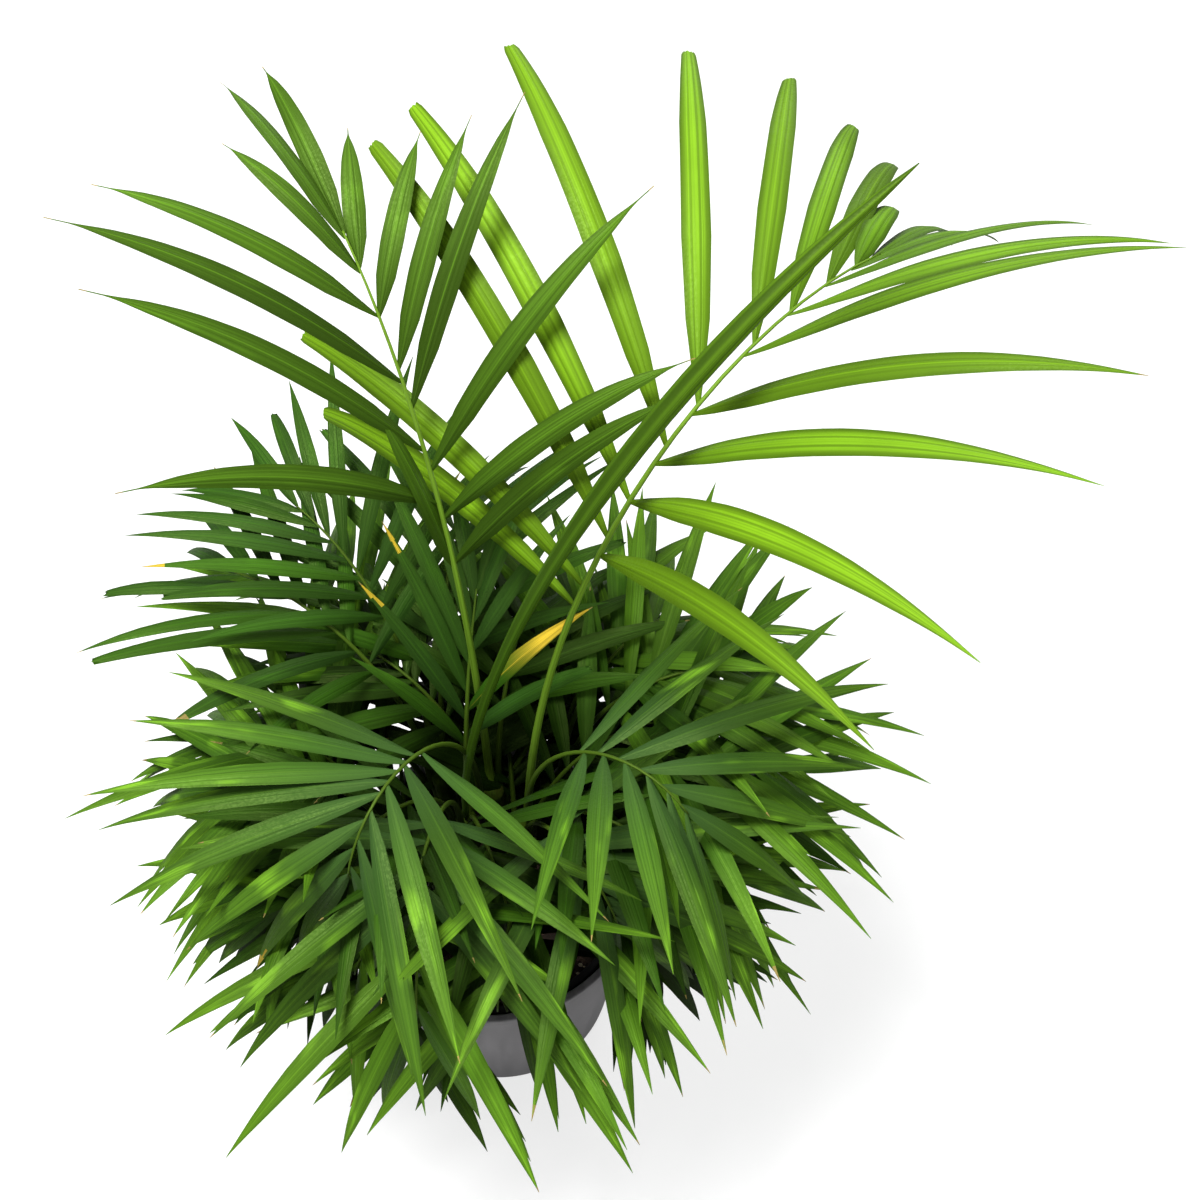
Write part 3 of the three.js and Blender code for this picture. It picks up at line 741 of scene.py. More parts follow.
def leaflet_veins(name):
    """Masks of a leaflet from its own UV map, and a number that each leaflet keeps."""
    nodes, _, out = new_group(name, ("Along", "Line", "Edge", "Vein", "Midrib", "Own", "Lit"))
    place = nodes.add("ShaderNodeUVMap", uv_map="blade").outputs[0]
    parts = nodes.add("ShaderNodeSeparateXYZ", {0: place}).outputs
    off = nodes.times(nodes.math("ABSOLUTE", nodes.math("SUBTRACT", nodes.math("FRACT", parts[0]), 0.5)), 2.0)
    beside = nodes.math("ABSOLUTE", nodes.math("SUBTRACT", off, 0.3))
    number = nodes.math("FLOOR", parts[0])
    masks = {
        "Along": parts[1],
        "Line": nodes.ramp(beside, 0.03, 0.12, 1.0, 0.0),
        "Edge": nodes.ramp(off, 0.38, 0.9),
        "Vein": nodes.noise(nodes.stretched(place, (13.0, 0.7, 1.0)), 1.0, 2.0, 0.6),
        "Midrib": nodes.ramp(off, 0.028, 0.07, 1.0, 0.0),
        "Own": nodes.add("ShaderNodeTexWhiteNoise", {"W": number}, noise_dimensions="1D").outputs["Value"],
        # Lit: soft patches along the leaflet, which carry painted highlights and part of the painted light
        # towards its tip.
        "Lit": nodes.noise(nodes.stretched(place, (1.3, 3.2, 1.0)), 1.0, 1.0, 0.5),
    }
    for socket, value in masks.items():
        nodes.feed(out[socket], value)
    return nodes.tree


def mottle(name):
    """Soft blotches and fine grain on Object coordinates."""
    nodes, given, out = new_group(name, ("Blotch", "Grain"), (("Blotch Scale", 30.0), ("Grain Scale", 900.0)))
    place = nodes.add("ShaderNodeTexCoord").outputs["Object"]
    nodes.feed(out["Blotch"], nodes.noise(place, given["Blotch Scale"], 3.0, 0.55))
    nodes.feed(out["Grain"], nodes.noise(place, given["Grain Scale"], 2.0, 0.5))
    return nodes.tree


# The crown's shaded heart in metres: its middle, its half-axes and the shares of them where the shade fades.
HEART = {"middle": (0.0, 0.03, 0.1), "half": (0.21, 0.23, 0.2), "fade": (0.55, 1.0)}


def crown_heart(name):
    """How far out of the crown's shaded heart a place is, from 0 inside to 1 at the crown's outside."""
    nodes, _, out = new_group(name, ("Open",))
    place = nodes.add("ShaderNodeTexCoord").outputs["Object"]
    off = nodes.add("ShaderNodeVectorMath", {0: place, 1: HEART["middle"]}, operation="SUBTRACT").outputs[0]
    shares = nodes.add("ShaderNodeVectorMath", {0: off, 1: HEART["half"]}, operation="DIVIDE").outputs[0]
    reach = nodes.add("ShaderNodeVectorMath", {0: shares}, operation="LENGTH").outputs["Value"]
    nodes.feed(out["Open"], nodes.ramp(reach, *HEART["fade"]))
    return nodes.tree


def leaflet_material(
        name, base, tip, bands=0.3, midrib=0.3, turn=0.6, patches=0.3, grooves=0.6, heart=0.06, root=None):
    """Satin leaflet: darker at its edge and beside its midrib, darker at its root and lighter and yellower
    towards its tip, both partly painted shade and light, with painted highlights in pale patches and painted
    shade in the crown's heart.
    """
    material, nodes, shader = new_material(name)
    veins = shared(nodes, leaflet_veins).outputs
    spots = shared(nodes, mottle).outputs
    opened = shared(nodes, crown_heart).outputs["Open"]
    # Lighter and yellower towards the tip: partly the leaflet's own colour, partly painted light shining
    # through its outer part, stronger in the lit patches.
    outer = nodes.times(nodes.ramp(veins["Along"], 0.3, 0.95), nodes.math("ADD", veins["Lit"], 0.3))
    # Painted highlights: pale patches on the leaflet's outer part, in the tip colour at twice its brightness.
    lit = nodes.times(nodes.ramp(veins["Lit"], 0.56, 0.7), nodes.ramp(veins["Along"], 0.25, 0.6))
    shade = nodes.math("MAXIMUM", nodes.times(veins["Line"], 0.5), veins["Edge"])
    green = nodes.colour(nodes.ramp(veins["Own"], 0.0, 1.0), shaded(base, 0.55), shaded(base, 1.3))
    for share, other in (
        (nodes.times(outer, turn), tip),
        (nodes.times(lit, patches), shaded(tip, 2.0)),
        (nodes.ramp(veins["Vein"], 0.35, 0.7, 0.0, grooves), shaded(base, 0.5)),
        (nodes.times(shade, bands), shaded(base, 0.32)),
        (nodes.ramp(spots["Blotch"], 0.35, 0.8, 0.0, 0.35), shaded(base, 0.6)),
        (nodes.times(veins["Midrib"], midrib), shaded(tip, 1.3)),
    ):
        green = nodes.colour(share, green, other)
    # Darker towards the root, in the root colour: partly the leaflet's own darker base, partly painted shade
    # where the leaflets crowd at the rib.
    green = nodes.colour(nodes.ramp(veins["Along"], 0.0, 0.5, 0.3, 1.0), root or shaded(base, 0.45), green)
    # Painted shade: towards the crown's heart the colour turns into a near-black copy of the base, keeping the
    # share heart of itself at the middle.
    green = nodes.colour(nodes.ramp(opened, 0.0, 1.0, heart, 1.0), shaded(base, 0.08), green)
    height = nodes.math("SUBTRACT", nodes.times(veins["Vein"], 0.6), nodes.times(veins["Line"], 0.4))
    finish(nodes, shader, green, nodes.ramp(spots["Grain"], 0.3, 0.7, 0.44, 0.62), (0.4, 0.6 * MM, height))
    shine(nodes, shader, opened, 0.06, 0.28)
    return material


def plastic_material(name, base, streak, roughness):
    """Moulded plastic with faint upright streaks and scuffs."""
    material, nodes, shader = new_material(name)
    place = nodes.add("ShaderNodeTexCoord").outputs["Object"]
    spots = shared(nodes, mottle).outputs
    streaks = nodes.noise(nodes.stretched(place, (150.0, 150.0, 5.0)), 1.0, 3.0, 0.6)
    grey = nodes.colour(nodes.ramp(streaks, 0.3, 0.7), shaded(base, 1 - streak), shaded(base, 1 + streak))
    grey = nodes.colour(nodes.ramp(spots["Blotch"], 0.35, 0.8, 0.0, 0.3), grey, shaded(base, 0.8))
    worn = nodes.ramp(streaks, 0.3, 0.7, roughness - 0.06, roughness + 0.08)
    finish(nodes, shader, grey, worn, (0.25, 0.2 * MM, spots["Grain"]))
    return material


def earth_material(name, base, spread, roughness=0.95):
    """Crumbly earth, grains or chips."""
    material, nodes, shader = new_material(name)
    spots = shared(nodes, mottle)
    spots.inputs["Blotch Scale"].default_value = 160.0
    spots.inputs["Grain Scale"].default_value = 1500.0
    blotch, grain = spots.outputs["Blotch"], spots.outputs["Grain"]
    brown = nodes.colour(nodes.ramp(blotch, 0.3, 0.7), shaded(base, 1 - spread), shaded(base, 1 + spread))
    brown = nodes.colour(nodes.ramp(grain, 0.4, 0.8, 0.0, 0.6), brown, shaded(base, 0.4))
    finish(nodes, shader, brown, roughness, (0.6, 0.8 * MM, grain))
    return material


def cane_material(name, base, dry):
    """Smooth green cane or rib, browned in spots and streaked along its length, with painted shade in the
    crown's heart.
    """
    material, nodes, shader = new_material(name)
    place = nodes.add("ShaderNodeUVMap", uv_map="blade").outputs[0]
    spots = shared(nodes, mottle)
    spots.inputs["Blotch Scale"].default_value = 60.0
    opened = shared(nodes, crown_heart).outputs["Open"]
    fibres = nodes.noise(nodes.stretched(place, (9.0, 1.5, 1.0)), 1.0, 2.0, 0.5)
    green = nodes.colour(nodes.ramp(fibres, 0.3, 0.75), shaded(base, 0.7), shaded(base, 1.25))
    green = nodes.colour(nodes.ramp(spots.outputs["Blotch"], 0.5, 0.75, 0.0, 0.7), green, dry)
    # Painted shade: towards the crown's heart the cane turns into a near-black copy of its base, a quarter of
    # its colour kept at the middle.
    green = nodes.colour(nodes.ramp(opened, 0.0, 1.0, 0.25, 1.0), shaded(base, 0.1), green)
    finish(nodes, shader, green, 0.5, (0.4, 0.4 * MM, fibres))
    shine(nodes, shader, opened, 0.04, 0.35)
    return material


def turned(name, profile, steps):
    """A vessel spun round the Z axis from (radius, height) points that start and end on the axis."""
    shape = bmesh.new()
    points = [shape.verts.new((radius, 0, height)) for radius, height in profile]
    edges = [shape.edges.new(pair) for pair in zip(points, points[1:])]
    bmesh.ops.spin(
        shape, geom=points + edges, cent=(0, 0, 0), axis=UP, angle=2 * math.pi, steps=steps, use_merge=True)
    bmesh.ops.remove_doubles(shape, verts=shape.verts, dist=1e-6)
    bmesh.ops.recalc_face_normals(shape, faces=shape.faces)
    mesh = finished(name, shape)
    mesh.set_sharp_from_angle(angle=math.radians(38))
    return mesh


def finished(name, shape):
    """The smooth mesh of a bmesh, which is freed."""
    mesh = bpy.data.meshes.new(name)
    shape.to_mesh(mesh)
    shape.free()
    mesh.shade_smooth()
    return mesh


def arc(centre, radius, start, end, steps):
    """Points on an arc in the profile's plane, angles in degrees from outward, turning up."""
    turns = [math.radians(mix(start, end, i / steps)) for i in range(steps + 1)]
    return [(centre[0] + radius * math.cos(a), centre[1] + radius * math.sin(a)) for a in turns]


# The pots in millimetres: radius of the foot, thickness of the wall and the floor, and how far the lip stands
# out and reaches down. The outside has points at heights above the underside, and the lip's under edge at
# distances in from the rim and up from the fold. The inner slope runs from the shoulder below the rim to the
# corner by the floor, with points at shares of it. The underside has points at shares of the foot, and the
# steps are those of the arcs at the foot, outside the rim and inside it.
POTS = {
    "cover_pot": {
        "foot": 62, "wall": 2.6, "floor": 4, "lip": 1.6, "drop": 8, "corner": 2, "shoulder": 3,
        "underside": (0, 0.5), "outside": (6, 30, 62, 94, 125), "under_lip": ((0.4, 0.96), (0, 2.08)),
        "inside": (0.02, 0.3, 0.6, 0.94), "steps": (5, 6, 4),
    },
    "nursery_pot": {
        "foot": 55, "wall": 1.8, "floor": 3, "lip": 2.2, "drop": 8, "corner": 1, "shoulder": 2,
        "underside": (0,), "outside": (10, 45, 80, 112), "under_lip": ((0.3, 0.8), (0, 2)),
        "inside": (0.02, 0.3, 0.6, 0.97), "steps": (3, 4, 4),
    },
}


def pot_profile(node, edge):
    """Half section of the pot in a node's box, from the middle of its underside round to its floor."""
    low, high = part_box(node)
    rim, base, top = high.x, low.z, high.z
    pot = POTS[node]
    foot, wall, floor, lip, drop = (pot[key] * MM for key in ("foot", "wall", "floor", "lip", "drop"))
    foot_steps, rim_steps, inner_steps = pot["steps"]
    slope = (rim - lip - foot) / (top - base)
    fold = top - drop
    inner = rim - lip - wall
    bottom = foot + slope * floor - wall
    shoulder = top - pot["shoulder"] * MM
    profile = [(foot * share, base) for share in pot["underside"]]
    profile += arc((foot - edge, base + edge), edge, -90, 0, foot_steps)
    profile += [(foot + slope * z * MM, base + z * MM) for z in pot["outside"]]
    profile += [(foot + slope * (fold - base), fold)]
    profile += [(rim - inward * MM, fold + up * MM) for inward, up in pot["under_lip"]]
    profile += arc((rim - edge, top - edge), edge, 0, 90, rim_steps)
    profile += arc((inner + edge, top - edge), edge, 90, 180, inner_steps)
    profile += [(mix(inner, bottom, share), mix(shoulder, base + floor, share)) for share in pot["inside"]]
    profile += [(bottom - pot["corner"] * MM, base + floor), (0, base + floor)]
    return profile


class PALM_OT_cover_pot(bpy.types.Operator):
    """Turn the grey cover pot with its rolled rim"""

    bl_idname = "palm.cover_pot"
    bl_label = "Cover Pot"

    def execute(self, context):
        mesh = turned("cover_pot_shell", pot_profile("cover_pot", sizes().bead), steps=128)
        grey = plastic_material("cover pot grey", colours().cover, streak=0.16, roughness=0.46)
        put("cover_pot_shell", mesh, [grey], ["cover_pot"])
        return {"FINISHED"}


class PALM_OT_nursery_pot(bpy.types.Operator):
    """Turn the thin black nursery pot with its folded lip"""

    bl_idname = "palm.nursery_pot"
    bl_label = "Nursery Pot"

    def execute(self, context):
        mesh = turned("nursery_pot_shell", pot_profile("nursery_pot", sizes().fold), steps=96)
        black = plastic_material("nursery pot black", colours().nursery, streak=0.3, roughness=0.4)
        put("nursery_pot_shell", mesh, [black], ["nursery_pot"])
        return {"FINISHED"}


# The soil in millimetres: its level at the wall, the rise of its mound, the relief of its crumbs, coarse and
# fine, and how far it sinks to make room for them. Its underside and the part with crumbs are shares of its
# radius.
SOIL = {
    "level": 112, "mound": 5, "coarse": 0.9, "fine": 0.6, "sunk": 0.4, "underside": 0.86, "crumbs": 0.995,
    "rings": 44, "segments": 160,
}
# A grain: how far out it lies at most as a share of the soil's radius, its roughness and length against its
# size, how its axis leans, and how far its middle lies above the mix as a share of its half-height.
GRAIN = {"within": 0.97, "rough": (0.75, 1.25), "long": (0.7, 1.6), "lean": (0.4, 0.4, 1), "above": 0.3}


def soil_height(radius, edge):
    """Top of the soil at a radius, in metres: the mound of the solids."""
    return (SOIL["level"] + SOIL["mound"] * (1 - (radius / edge) ** 2)) * MM


def crumble(x, y):
    """Height of the crumbs of the mix above or below the mound, in metres."""
    coarse = noise.noise(Vector((x, y, 0)) * 90)
    fine = noise.noise(Vector((x, y, 5)) * 330)
    return (SOIL["coarse"] * coarse + SOIL["fine"] * fine - SOIL["sunk"]) * MM


class PALM_OT_soil(bpy.types.Operator):
    """Fill the nursery pot with crumbly mix"""

    bl_idname = "palm.soil"
    bl_label = "Soil"

    def execute(self, context):
        low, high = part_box("soil")
        edge, base = high.x, low.z
        rings = [edge * i / SOIL["rings"] for i in range(SOIL["rings"], 0, -1)]
        profile = [(0, base), (edge * SOIL["underside"], base)]
        profile += [(r, soil_height(r, edge)) for r in rings] + [(0, soil_height(0, edge))]
        mesh = turned("soil_bed", profile, SOIL["segments"])
        for vertex in mesh.vertices:
            radius = math.hypot(vertex.co.x, vertex.co.y)
            if vertex.co.z > (base + high.z) / 2 and radius < edge * SOIL["crumbs"]:
                vertex.co.z += crumble(vertex.co.x, vertex.co.y)
        brown = earth_material("potting mix", colours().soil, spread=0.5)
        put("soil_bed", mesh, [brown], ["soil"])
        chips = shaded(colours().soil, 2.2)
        self.sprinkle("soil_grit", sizes().grit, (0.5, 1.3), flatness=1, colour=colours().grit, seed=3)
        self.sprinkle("soil_bark", sizes().bark, (0.8, 2.4), flatness=0.4, colour=chips, seed=11)
        return {"FINISHED"}

    def sprinkle(self, name, count, size_range, flatness, colour, seed):
        """Small broken grains that lie on the mix."""
        _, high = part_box("soil")
        edge = high.x
        dice = np.random.default_rng(seed)
        shape = bmesh.new()
        for _ in range(count):
            radius = edge * GRAIN["within"] * math.sqrt(dice.random())
            turn = dice.random() * 2 * math.pi
            x, y = radius * math.cos(turn), radius * math.sin(turn)
            size = dice.uniform(*size_range) * MM
            grain = bmesh.ops.create_icosphere(shape, subdivisions=1, radius=size)["verts"]
            for vertex in grain:
                vertex.co *= dice.uniform(*GRAIN["rough"])
            bmesh.ops.scale(shape, vec=(dice.uniform(*GRAIN["long"]), 1, flatness), verts=grain)
            lean = Vector(dice.normal(size=3) * GRAIN["lean"]).normalized()
            spin = UP.rotation_difference(lean).to_matrix()
            bmesh.ops.rotate(shape, cent=(0, 0, 0), matrix=spin, verts=grain)
            z = soil_height(radius, edge) + crumble(x, y) + size * flatness * GRAIN["above"]
            bmesh.ops.translate(shape, vec=(x, y, z), verts=grain)
        mesh = bpy.data.meshes.new(name)
        shape.to_mesh(mesh)
        shape.free()
        put(name, mesh, [earth_material(name.replace("_", " "), colour, 0.25, roughness=0.85)], [])


def cross_section(centre, across, face, radius, flat=1.0):
    """Matrix that takes the unit circle to a section of a tube, from millimetres to metres."""
    along = across.cross(face)
    columns = (across * radius, face * (radius * flat), along, centre)
    return Matrix([[column[i] * MM for column in columns] for i in range(3)] + [(0, 0, 0, 1)])


def tube(sections, sides, pleat=0.0):
    """A closed tube extruded from section to section, with a UV map round and along it."""
    shape = bmesh.new()
    layer = shape.loops.layers.uv.new("blade")
    corners = bmesh.ops.create_circle(shape, cap_ends=True, segments=sides, radius=1)["verts"]
    bmesh.ops.scale(shape, vec=(1 - pleat, 1 - pleat, 1), verts=corners[1::2])
    cap = corners[0].link_faces[0]
    bmesh.ops.transform(shape, matrix=sections[0], verts=corners)
    place = {corner: 0 for corner in corners}
    for i in range(1, len(sections)):
        grown = bmesh.ops.extrude_face_region(shape, geom=[cap])["geom"]
        if i > 1:
            bmesh.ops.delete(shape, geom=[cap], context="FACES_ONLY")
        corners = [item for item in grown if isinstance(item, bmesh.types.BMVert)]
        cap = next(item for item in grown if isinstance(item, bmesh.types.BMFace))
        bmesh.ops.transform(shape, matrix=sections[i] @ sections[i - 1].inverted(), verts=corners)
        place.update((corner, i) for corner in corners)
    for corner, i in place.items():
        spot = sections[i].inverted() @ corner.co
        turn = math.atan2(spot.y, spot.x) / math.pi
        for loop in corner.link_loops:
            loop[layer].uv = (abs(turn) * 0.96 + 0.02, i / (len(sections) - 1))
    bmesh.ops.recalc_face_normals(shape, faces=shape.faces)
    return finished("tube", shape)


def joined(name, tubes):
    """One mesh of all the tubes."""
    shape = bmesh.new()
    for mesh in tubes:
        shape.from_mesh(mesh)
        bpy.data.meshes.remove(mesh)
    return finished(name, shape)


# The canes: spacing of the leaf scars in millimetres, their width as a share of it and their relief as one of
# the radius, where the cane begins to swell towards its top, and how many steps and sides it has.
CANE = {"spacing": 9.5, "scar": 0.07, "relief": 0.09, "swell": 0.55, "steps": 60, "sides": 20}


def stem_radius(height, length):
    """Radius of a cane at a height above the soil, with its flare and the relief of its rings."""
    if height < STEM["flare"]:
        body = mix(STEM["foot"], STEM["waist"], ease(height / STEM["flare"]))
    else:
        risen = max(0, (height / length - CANE["swell"]) / (1 - CANE["swell"]))
        body = mix(STEM["waist"], STEM["top"], ease(risen))
    place = (height / CANE["spacing"]) % 1
    scar = math.exp(-((place - 0.5) / CANE["scar"]) ** 2)
    return body * (1 + CANE["relief"] * scar)


class PALM_OT_canes(bpy.types.Operator):
    """Grow the canes from the soil, ringed by old leaf scars"""

    bl_idname = "palm.canes"
    bl_label = "Canes"

    def execute(self, context):
        _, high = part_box("soil")
        mesh = joined("canes", [self.cane(stem, high.x) for stem in STEMS.values()])
        # Painted shade: the canes take the cane green and its dry brown at 0.4 of their brightness, for their
        # place inside the crown.
        green = cane_material("cane green", shaded(colours().stem, 0.4), shaded(colours().dry, 0.4))
        names = [f"stem_{name}" for name in STEMS]
        put("canes", mesh, [green], names)
        return {"FINISHED"}

    def cane(self, stem, edge):
        top = stem_top(stem)
        inner = max(math.hypot(*stem["at"]) - STEM["foot"], 0)
        foot = Vector((*stem["at"], soil_height(inner * MM, edge) / MM + GAP))
        length = top.z - foot.z
        across, face = Vector((1, 0, 0)), Vector((0, 1, 0))
        sections = []
        for i in range(CANE["steps"] + 1):
            share = i / CANE["steps"]
            radius = stem_radius(length * share, length)
            sections.append(cross_section(foot.lerp(top, share), across, face, radius))
        return tube(sections, CANE["sides"])


def fine_curve(rib):
    """A rib's stations with one more between each two."""
    last = (len(rib) - 1) * 2
    return [station_at(rib, i / last) for i in range(last + 1)]


# A petiole's sheath in millimetres: how far below and above the rib's foot it clasps the cane and how much
# its first radius exceeds the cane's, with the share of the rib that it follows and its steps.
SHEATH = {"below": 30, "above": 6, "thick": 0.7, "follow": 0.03, "steps": 6}


class PALM_OT_ribs(bpy.types.Operator):
    """Draw the petioles and ribs, and the sheaths that clasp the canes"""

    bl_idname = "palm.ribs"
    bl_label = "Ribs"

    def execute(self, context):
        tubes = {True: [], False: []}
        for frond in CROWN.fronds:
            tall = frond["kind"] == "tall"
            curve = fine_curve(frond["curve"])
            sections = self.sheath(frond, curve)
            for i, (point, _, side, face) in enumerate(curve[2:], 2):
                share = i / (len(curve) - 1)
                radius = mix(RIB["foot"], sizes().rib_tip / MM, share if tall else share ** 0.7)
                sections.append(cross_section(point, face, side, radius))
            tubes[tall].append(tube(sections, sides=10))
        # Painted shade: the crown's ribs take the cane green at 0.4 of its brightness, for their place under
        # the leaflets; the tall ribs keep it plain.
        for tall, name, base in (
            (True, "ribs_tall", colours().stem), (False, "ribs_crown", shaded(colours().stem, 0.4)),
        ):
            mesh = joined(name, tubes[tall])
            green = cane_material(name.replace("_", " "), base, shaded(base, 0.7))
            put(name, mesh, [green], [])
        return {"FINISHED"}

    def sheath(self, frond, curve):
        """Sections that start round the cane and gather into the petiole."""
        stem = STEMS[frond["stem"]]
        axis = stem_axis(stem)
        top = stem_top(stem)
        down = (top.z - curve[0][0].z) / axis.z
        sections = []
        for k in range(SHEATH["steps"] + 1):
            share = k / SHEATH["steps"]
            clasp = top + axis * (mix(-SHEATH["below"], SHEATH["above"], share) - down)
            followed = station_at(curve, max(2 * share - 1, 0) * SHEATH["follow"])[0]
            centre = clasp.lerp(followed, ease(share) * 0.98)
            radius = mix(STEM["top"] + SHEATH["thick"], RIB["foot"], ease(share))
            sections.append(cross_section(centre, curve[0][3], curve[0][2], radius))
        return sections


# Places along a leaflet where it has a row of points, closer where it narrows.
CROWN_ROWS = np.array((0, 0.05, 0.13, 0.24, 0.37, 0.5, 0.62, 0.73, 0.82, 0.89, 0.94, 0.975, 1))
TALL_ROWS = np.concatenate((np.linspace(0, 0.16, 6), np.linspace(0.2, 0.84, 17), np.linspace(0.87, 1, 8)))
# Share of the full width at places along a leaflet.
OUTLINES = {
    "slender": (
        (0, 0.16), (0.06, 0.42), (0.18, 0.82), (0.34, 1), (0.5, 0.96), (0.66, 0.78), (0.8, 0.5), (0.92, 0.2),
        (1, 0.02),
    ),
    "broad": (
        (0, 0.14), (0.06, 0.36), (0.2, 0.8), (0.4, 1), (0.72, 0.92), (0.86, 0.74), (0.94, 0.6), (0.985, 0.52),
        (1, 0.4),
    ),
    "blunt": (
        (0, 0.16), (0.06, 0.42), (0.2, 0.84), (0.38, 1), (0.68, 0.98), (0.86, 0.72), (0.95, 0.5), (1, 0.32),
    ),
    "whiskered": (
        (0, 0.14), (0.06, 0.38), (0.2, 0.84), (0.38, 1), (0.58, 0.92), (0.74, 0.7), (0.85, 0.4), (0.91, 0.14),
        (0.94, 0.05), (1, 0.04),
    ),
}
# How far back an end is torn at most, in millimetres.
RAGGED = {"blunt": 4.0, "broad": 1.4}
# A leaflet's surface: the most that it twists in degrees, the height of its wave in millimetres, the wave's
# turn from root to tip in radians, and how much deeper it is folded at its root.
SHEET = {"twist": 17.0, "wave": 0.4, "wave_turn": 9, "root_fold": 0.5}
# How many numbers the leaflets of a piece take in turn in their UV map, to be told apart by.
NUMBERS = 97


def resampled(rows, places):
    """Rows at places from 0 to 1 along those given, by the four nearest."""
    padded = np.concatenate((rows[:1] * 2 - rows[1:2], rows, rows[-1:] * 2 - rows[-2:-1]))
    spot = np.clip(places, 0, 1 - 1e-9) * (len(rows) - 1)
    i = spot.astype(int)
    f = (spot - i)[:, None]
    a, b, c, d = (padded[i + k] for k in range(4))
    return b + 0.5 * f * (c - a + f * (2 * a - 5 * b + 4 * c - d + f * (3 * (b - c) + d - a)))


def on_curve(blade):
    """Points of a blade, moved at its root from the straight pieces of the rib onto the curved rib."""
    frond = blade["frond"]
    leafy = frond["petiole"] / (frond["petiole"] + frond["rachis"])
    place = mix(leafy, ROWS["end"], blade["share"])
    shift = station_at(frond["curve"], place)[0] - station_at(frond["rib"], place)[0]
    fade = (1 - np.linspace(0, 1, BLADE["steps"] + 1)) ** 2
    return blade["points"] + fade[:, None] * np.array(shift)


class LeafletSheets:
    """Joins leaflets into one mesh: folded on the midrib, pleated, with a UV map and a tint for each."""

    def __init__(self, columns, places):
        self.columns = columns
        self.places = places
        self.steps = len(places) - 1
        row = columns + 1
        first = (np.arange(self.steps)[:, None] * row + np.arange(columns)[None, :]).reshape(-1, 1)
        self.quads = first + np.array((0, 1, row + 1, row))[None, :]
        self.points, self.faces, self.uvs, self.tints = [], [], [], []

    def add(self, blade, tint, outline, tip):
        seed = blade["frond"]["seed"] * 31 + len(self.points)
        kind = blade["frond"]["kind"]
        reach = self.places * (1 - SHORT[kind] * chance(seed, 9) ** 2)
        points = resampled(on_curve(blade), reach)
        twist = math.radians(SHEET["twist"]) * scatter(seed, 41) * reach[:, None] ** 1.6
        flat, raised = resampled(blade["across"], reach), resampled(blade["normals"], reach)
        across = flat * np.cos(twist) + raised * np.sin(twist)
        normals = raised * np.cos(twist) - flat * np.sin(twist)
        shares = np.interp(self.places, *zip(*OUTLINES[outline]))[:, None]
        u, t = np.linspace(-1, 1, self.columns + 1)[None, :], self.places[:, None]
        half = blade["half"] * SLIM[kind] * shares
        pleat = sizes().pleat / MM * shares * 0.5 * (np.cos(np.abs(u) * self.columns * math.pi) - 1)
        wave = SHEET["wave"] * np.sin(t * SHEET["wave_turn"] + 3 * scatter(seed, 2)) * u * shares
        fold = -(BLADE["fold"] + SHEET["root_fold"] * (1 - t) ** 6) * half * np.abs(u)
        x, y = half * u, fold + pleat + wave
        grid = points[:, None, :] + across[:, None, :] * x[:, :, None] + normals[:, None, :] * y[:, :, None]
        if outline in RAGGED:
            torn = np.array([abs(scatter(seed, 50 + i)) for i in range(self.columns + 1)])[:, None]
            end = points[-1] - points[-2]
            grid[-1] -= end[None, :] / np.linalg.norm(end) * (RAGGED[outline] * torn)
        start = len(self.points) * grid.shape[0] * grid.shape[1]
        self.points.append(grid.reshape(-1, 3) * MM)
        self.faces.append(self.quads + start)
        number = len(self.points) % NUMBERS
        uv = np.stack(np.broadcast_arrays((u * 0.48 + 0.5) + number, t), -1).reshape(-1, 2)
        self.uvs.append(uv[self.quads.ravel()])
        self.tints.append(self.tint_of_faces(seed, tint, tip))

    def tint_of_faces(self, seed, tint, tip):
        """The leaflet's own tint, and the tints of its tip, each from a ragged row on."""
        tints = np.full((self.steps, self.columns), tint)
        for rows, material in tip:
            for i in range(self.columns):
                start = self.steps - rows + (1 if rows > 1 and scatter(seed + i, rows) > 0.2 else 0)
                tints[start:, i] = material
        return tints.ravel()

    def mesh(self, name):
        mesh = bpy.data.meshes.new(name)
        mesh.from_pydata(np.concatenate(self.points).tolist(), [], np.concatenate(self.faces).tolist())
        layer = mesh.uv_layers.new(name="blade")
        layer.data.foreach_set("uv", np.concatenate(self.uvs).astype(np.float32).ravel())
        mesh.polygons.foreach_set("material_index", np.concatenate(self.tints).astype(np.int32))
        mesh.shade_smooth()
        mesh.validate()
        return mesh


CREST = ("frond_front_left", "frond_front_right", "frond_front_high", "frond_front_centre")
# Where leaflets turn yellow: places of their tips in millimetres, and how many rows turn.
YELLOWED = (
    ((-55, 58, 330), 4), ((56, 45, 324), 12), ((-44, 82, 342), 4), ((-123, -71, 254), 4),
    ((-102, -84, 214), 4),
)
# How near to such a place a leaflet's tip has to be, in millimetres.
NEAR = 6
TIPS = ("leaflet turning yellow", "leaflet dry tip")


def tip_materials():
    """The two materials of leaflet tips, made when they are first wanted."""
    found = [bpy.data.materials.get(name) for name in TIPS]
    if all(found):
        return found
    dry = colours().dry
    return [
        leaflet_material(TIPS[0], colours().leaf, colours().yellow, turn=2.0, patches=0.0),
        leaflet_material(TIPS[1], dry, shaded(dry, 0.7)),
    ]


def tinted(name, base, tip, warmth, **look):
    """Materials of one family, from the cool base to the warm tip colour, and the two tip materials."""
    made = []
    for i, warm in enumerate(warmth):
        green = tuple(mix(a, b, warm) for a, b in zip(base, tip))
        made.append(leaflet_material(f"{name} {i + 1}", green, tip, **look))
    return made + tip_materials()


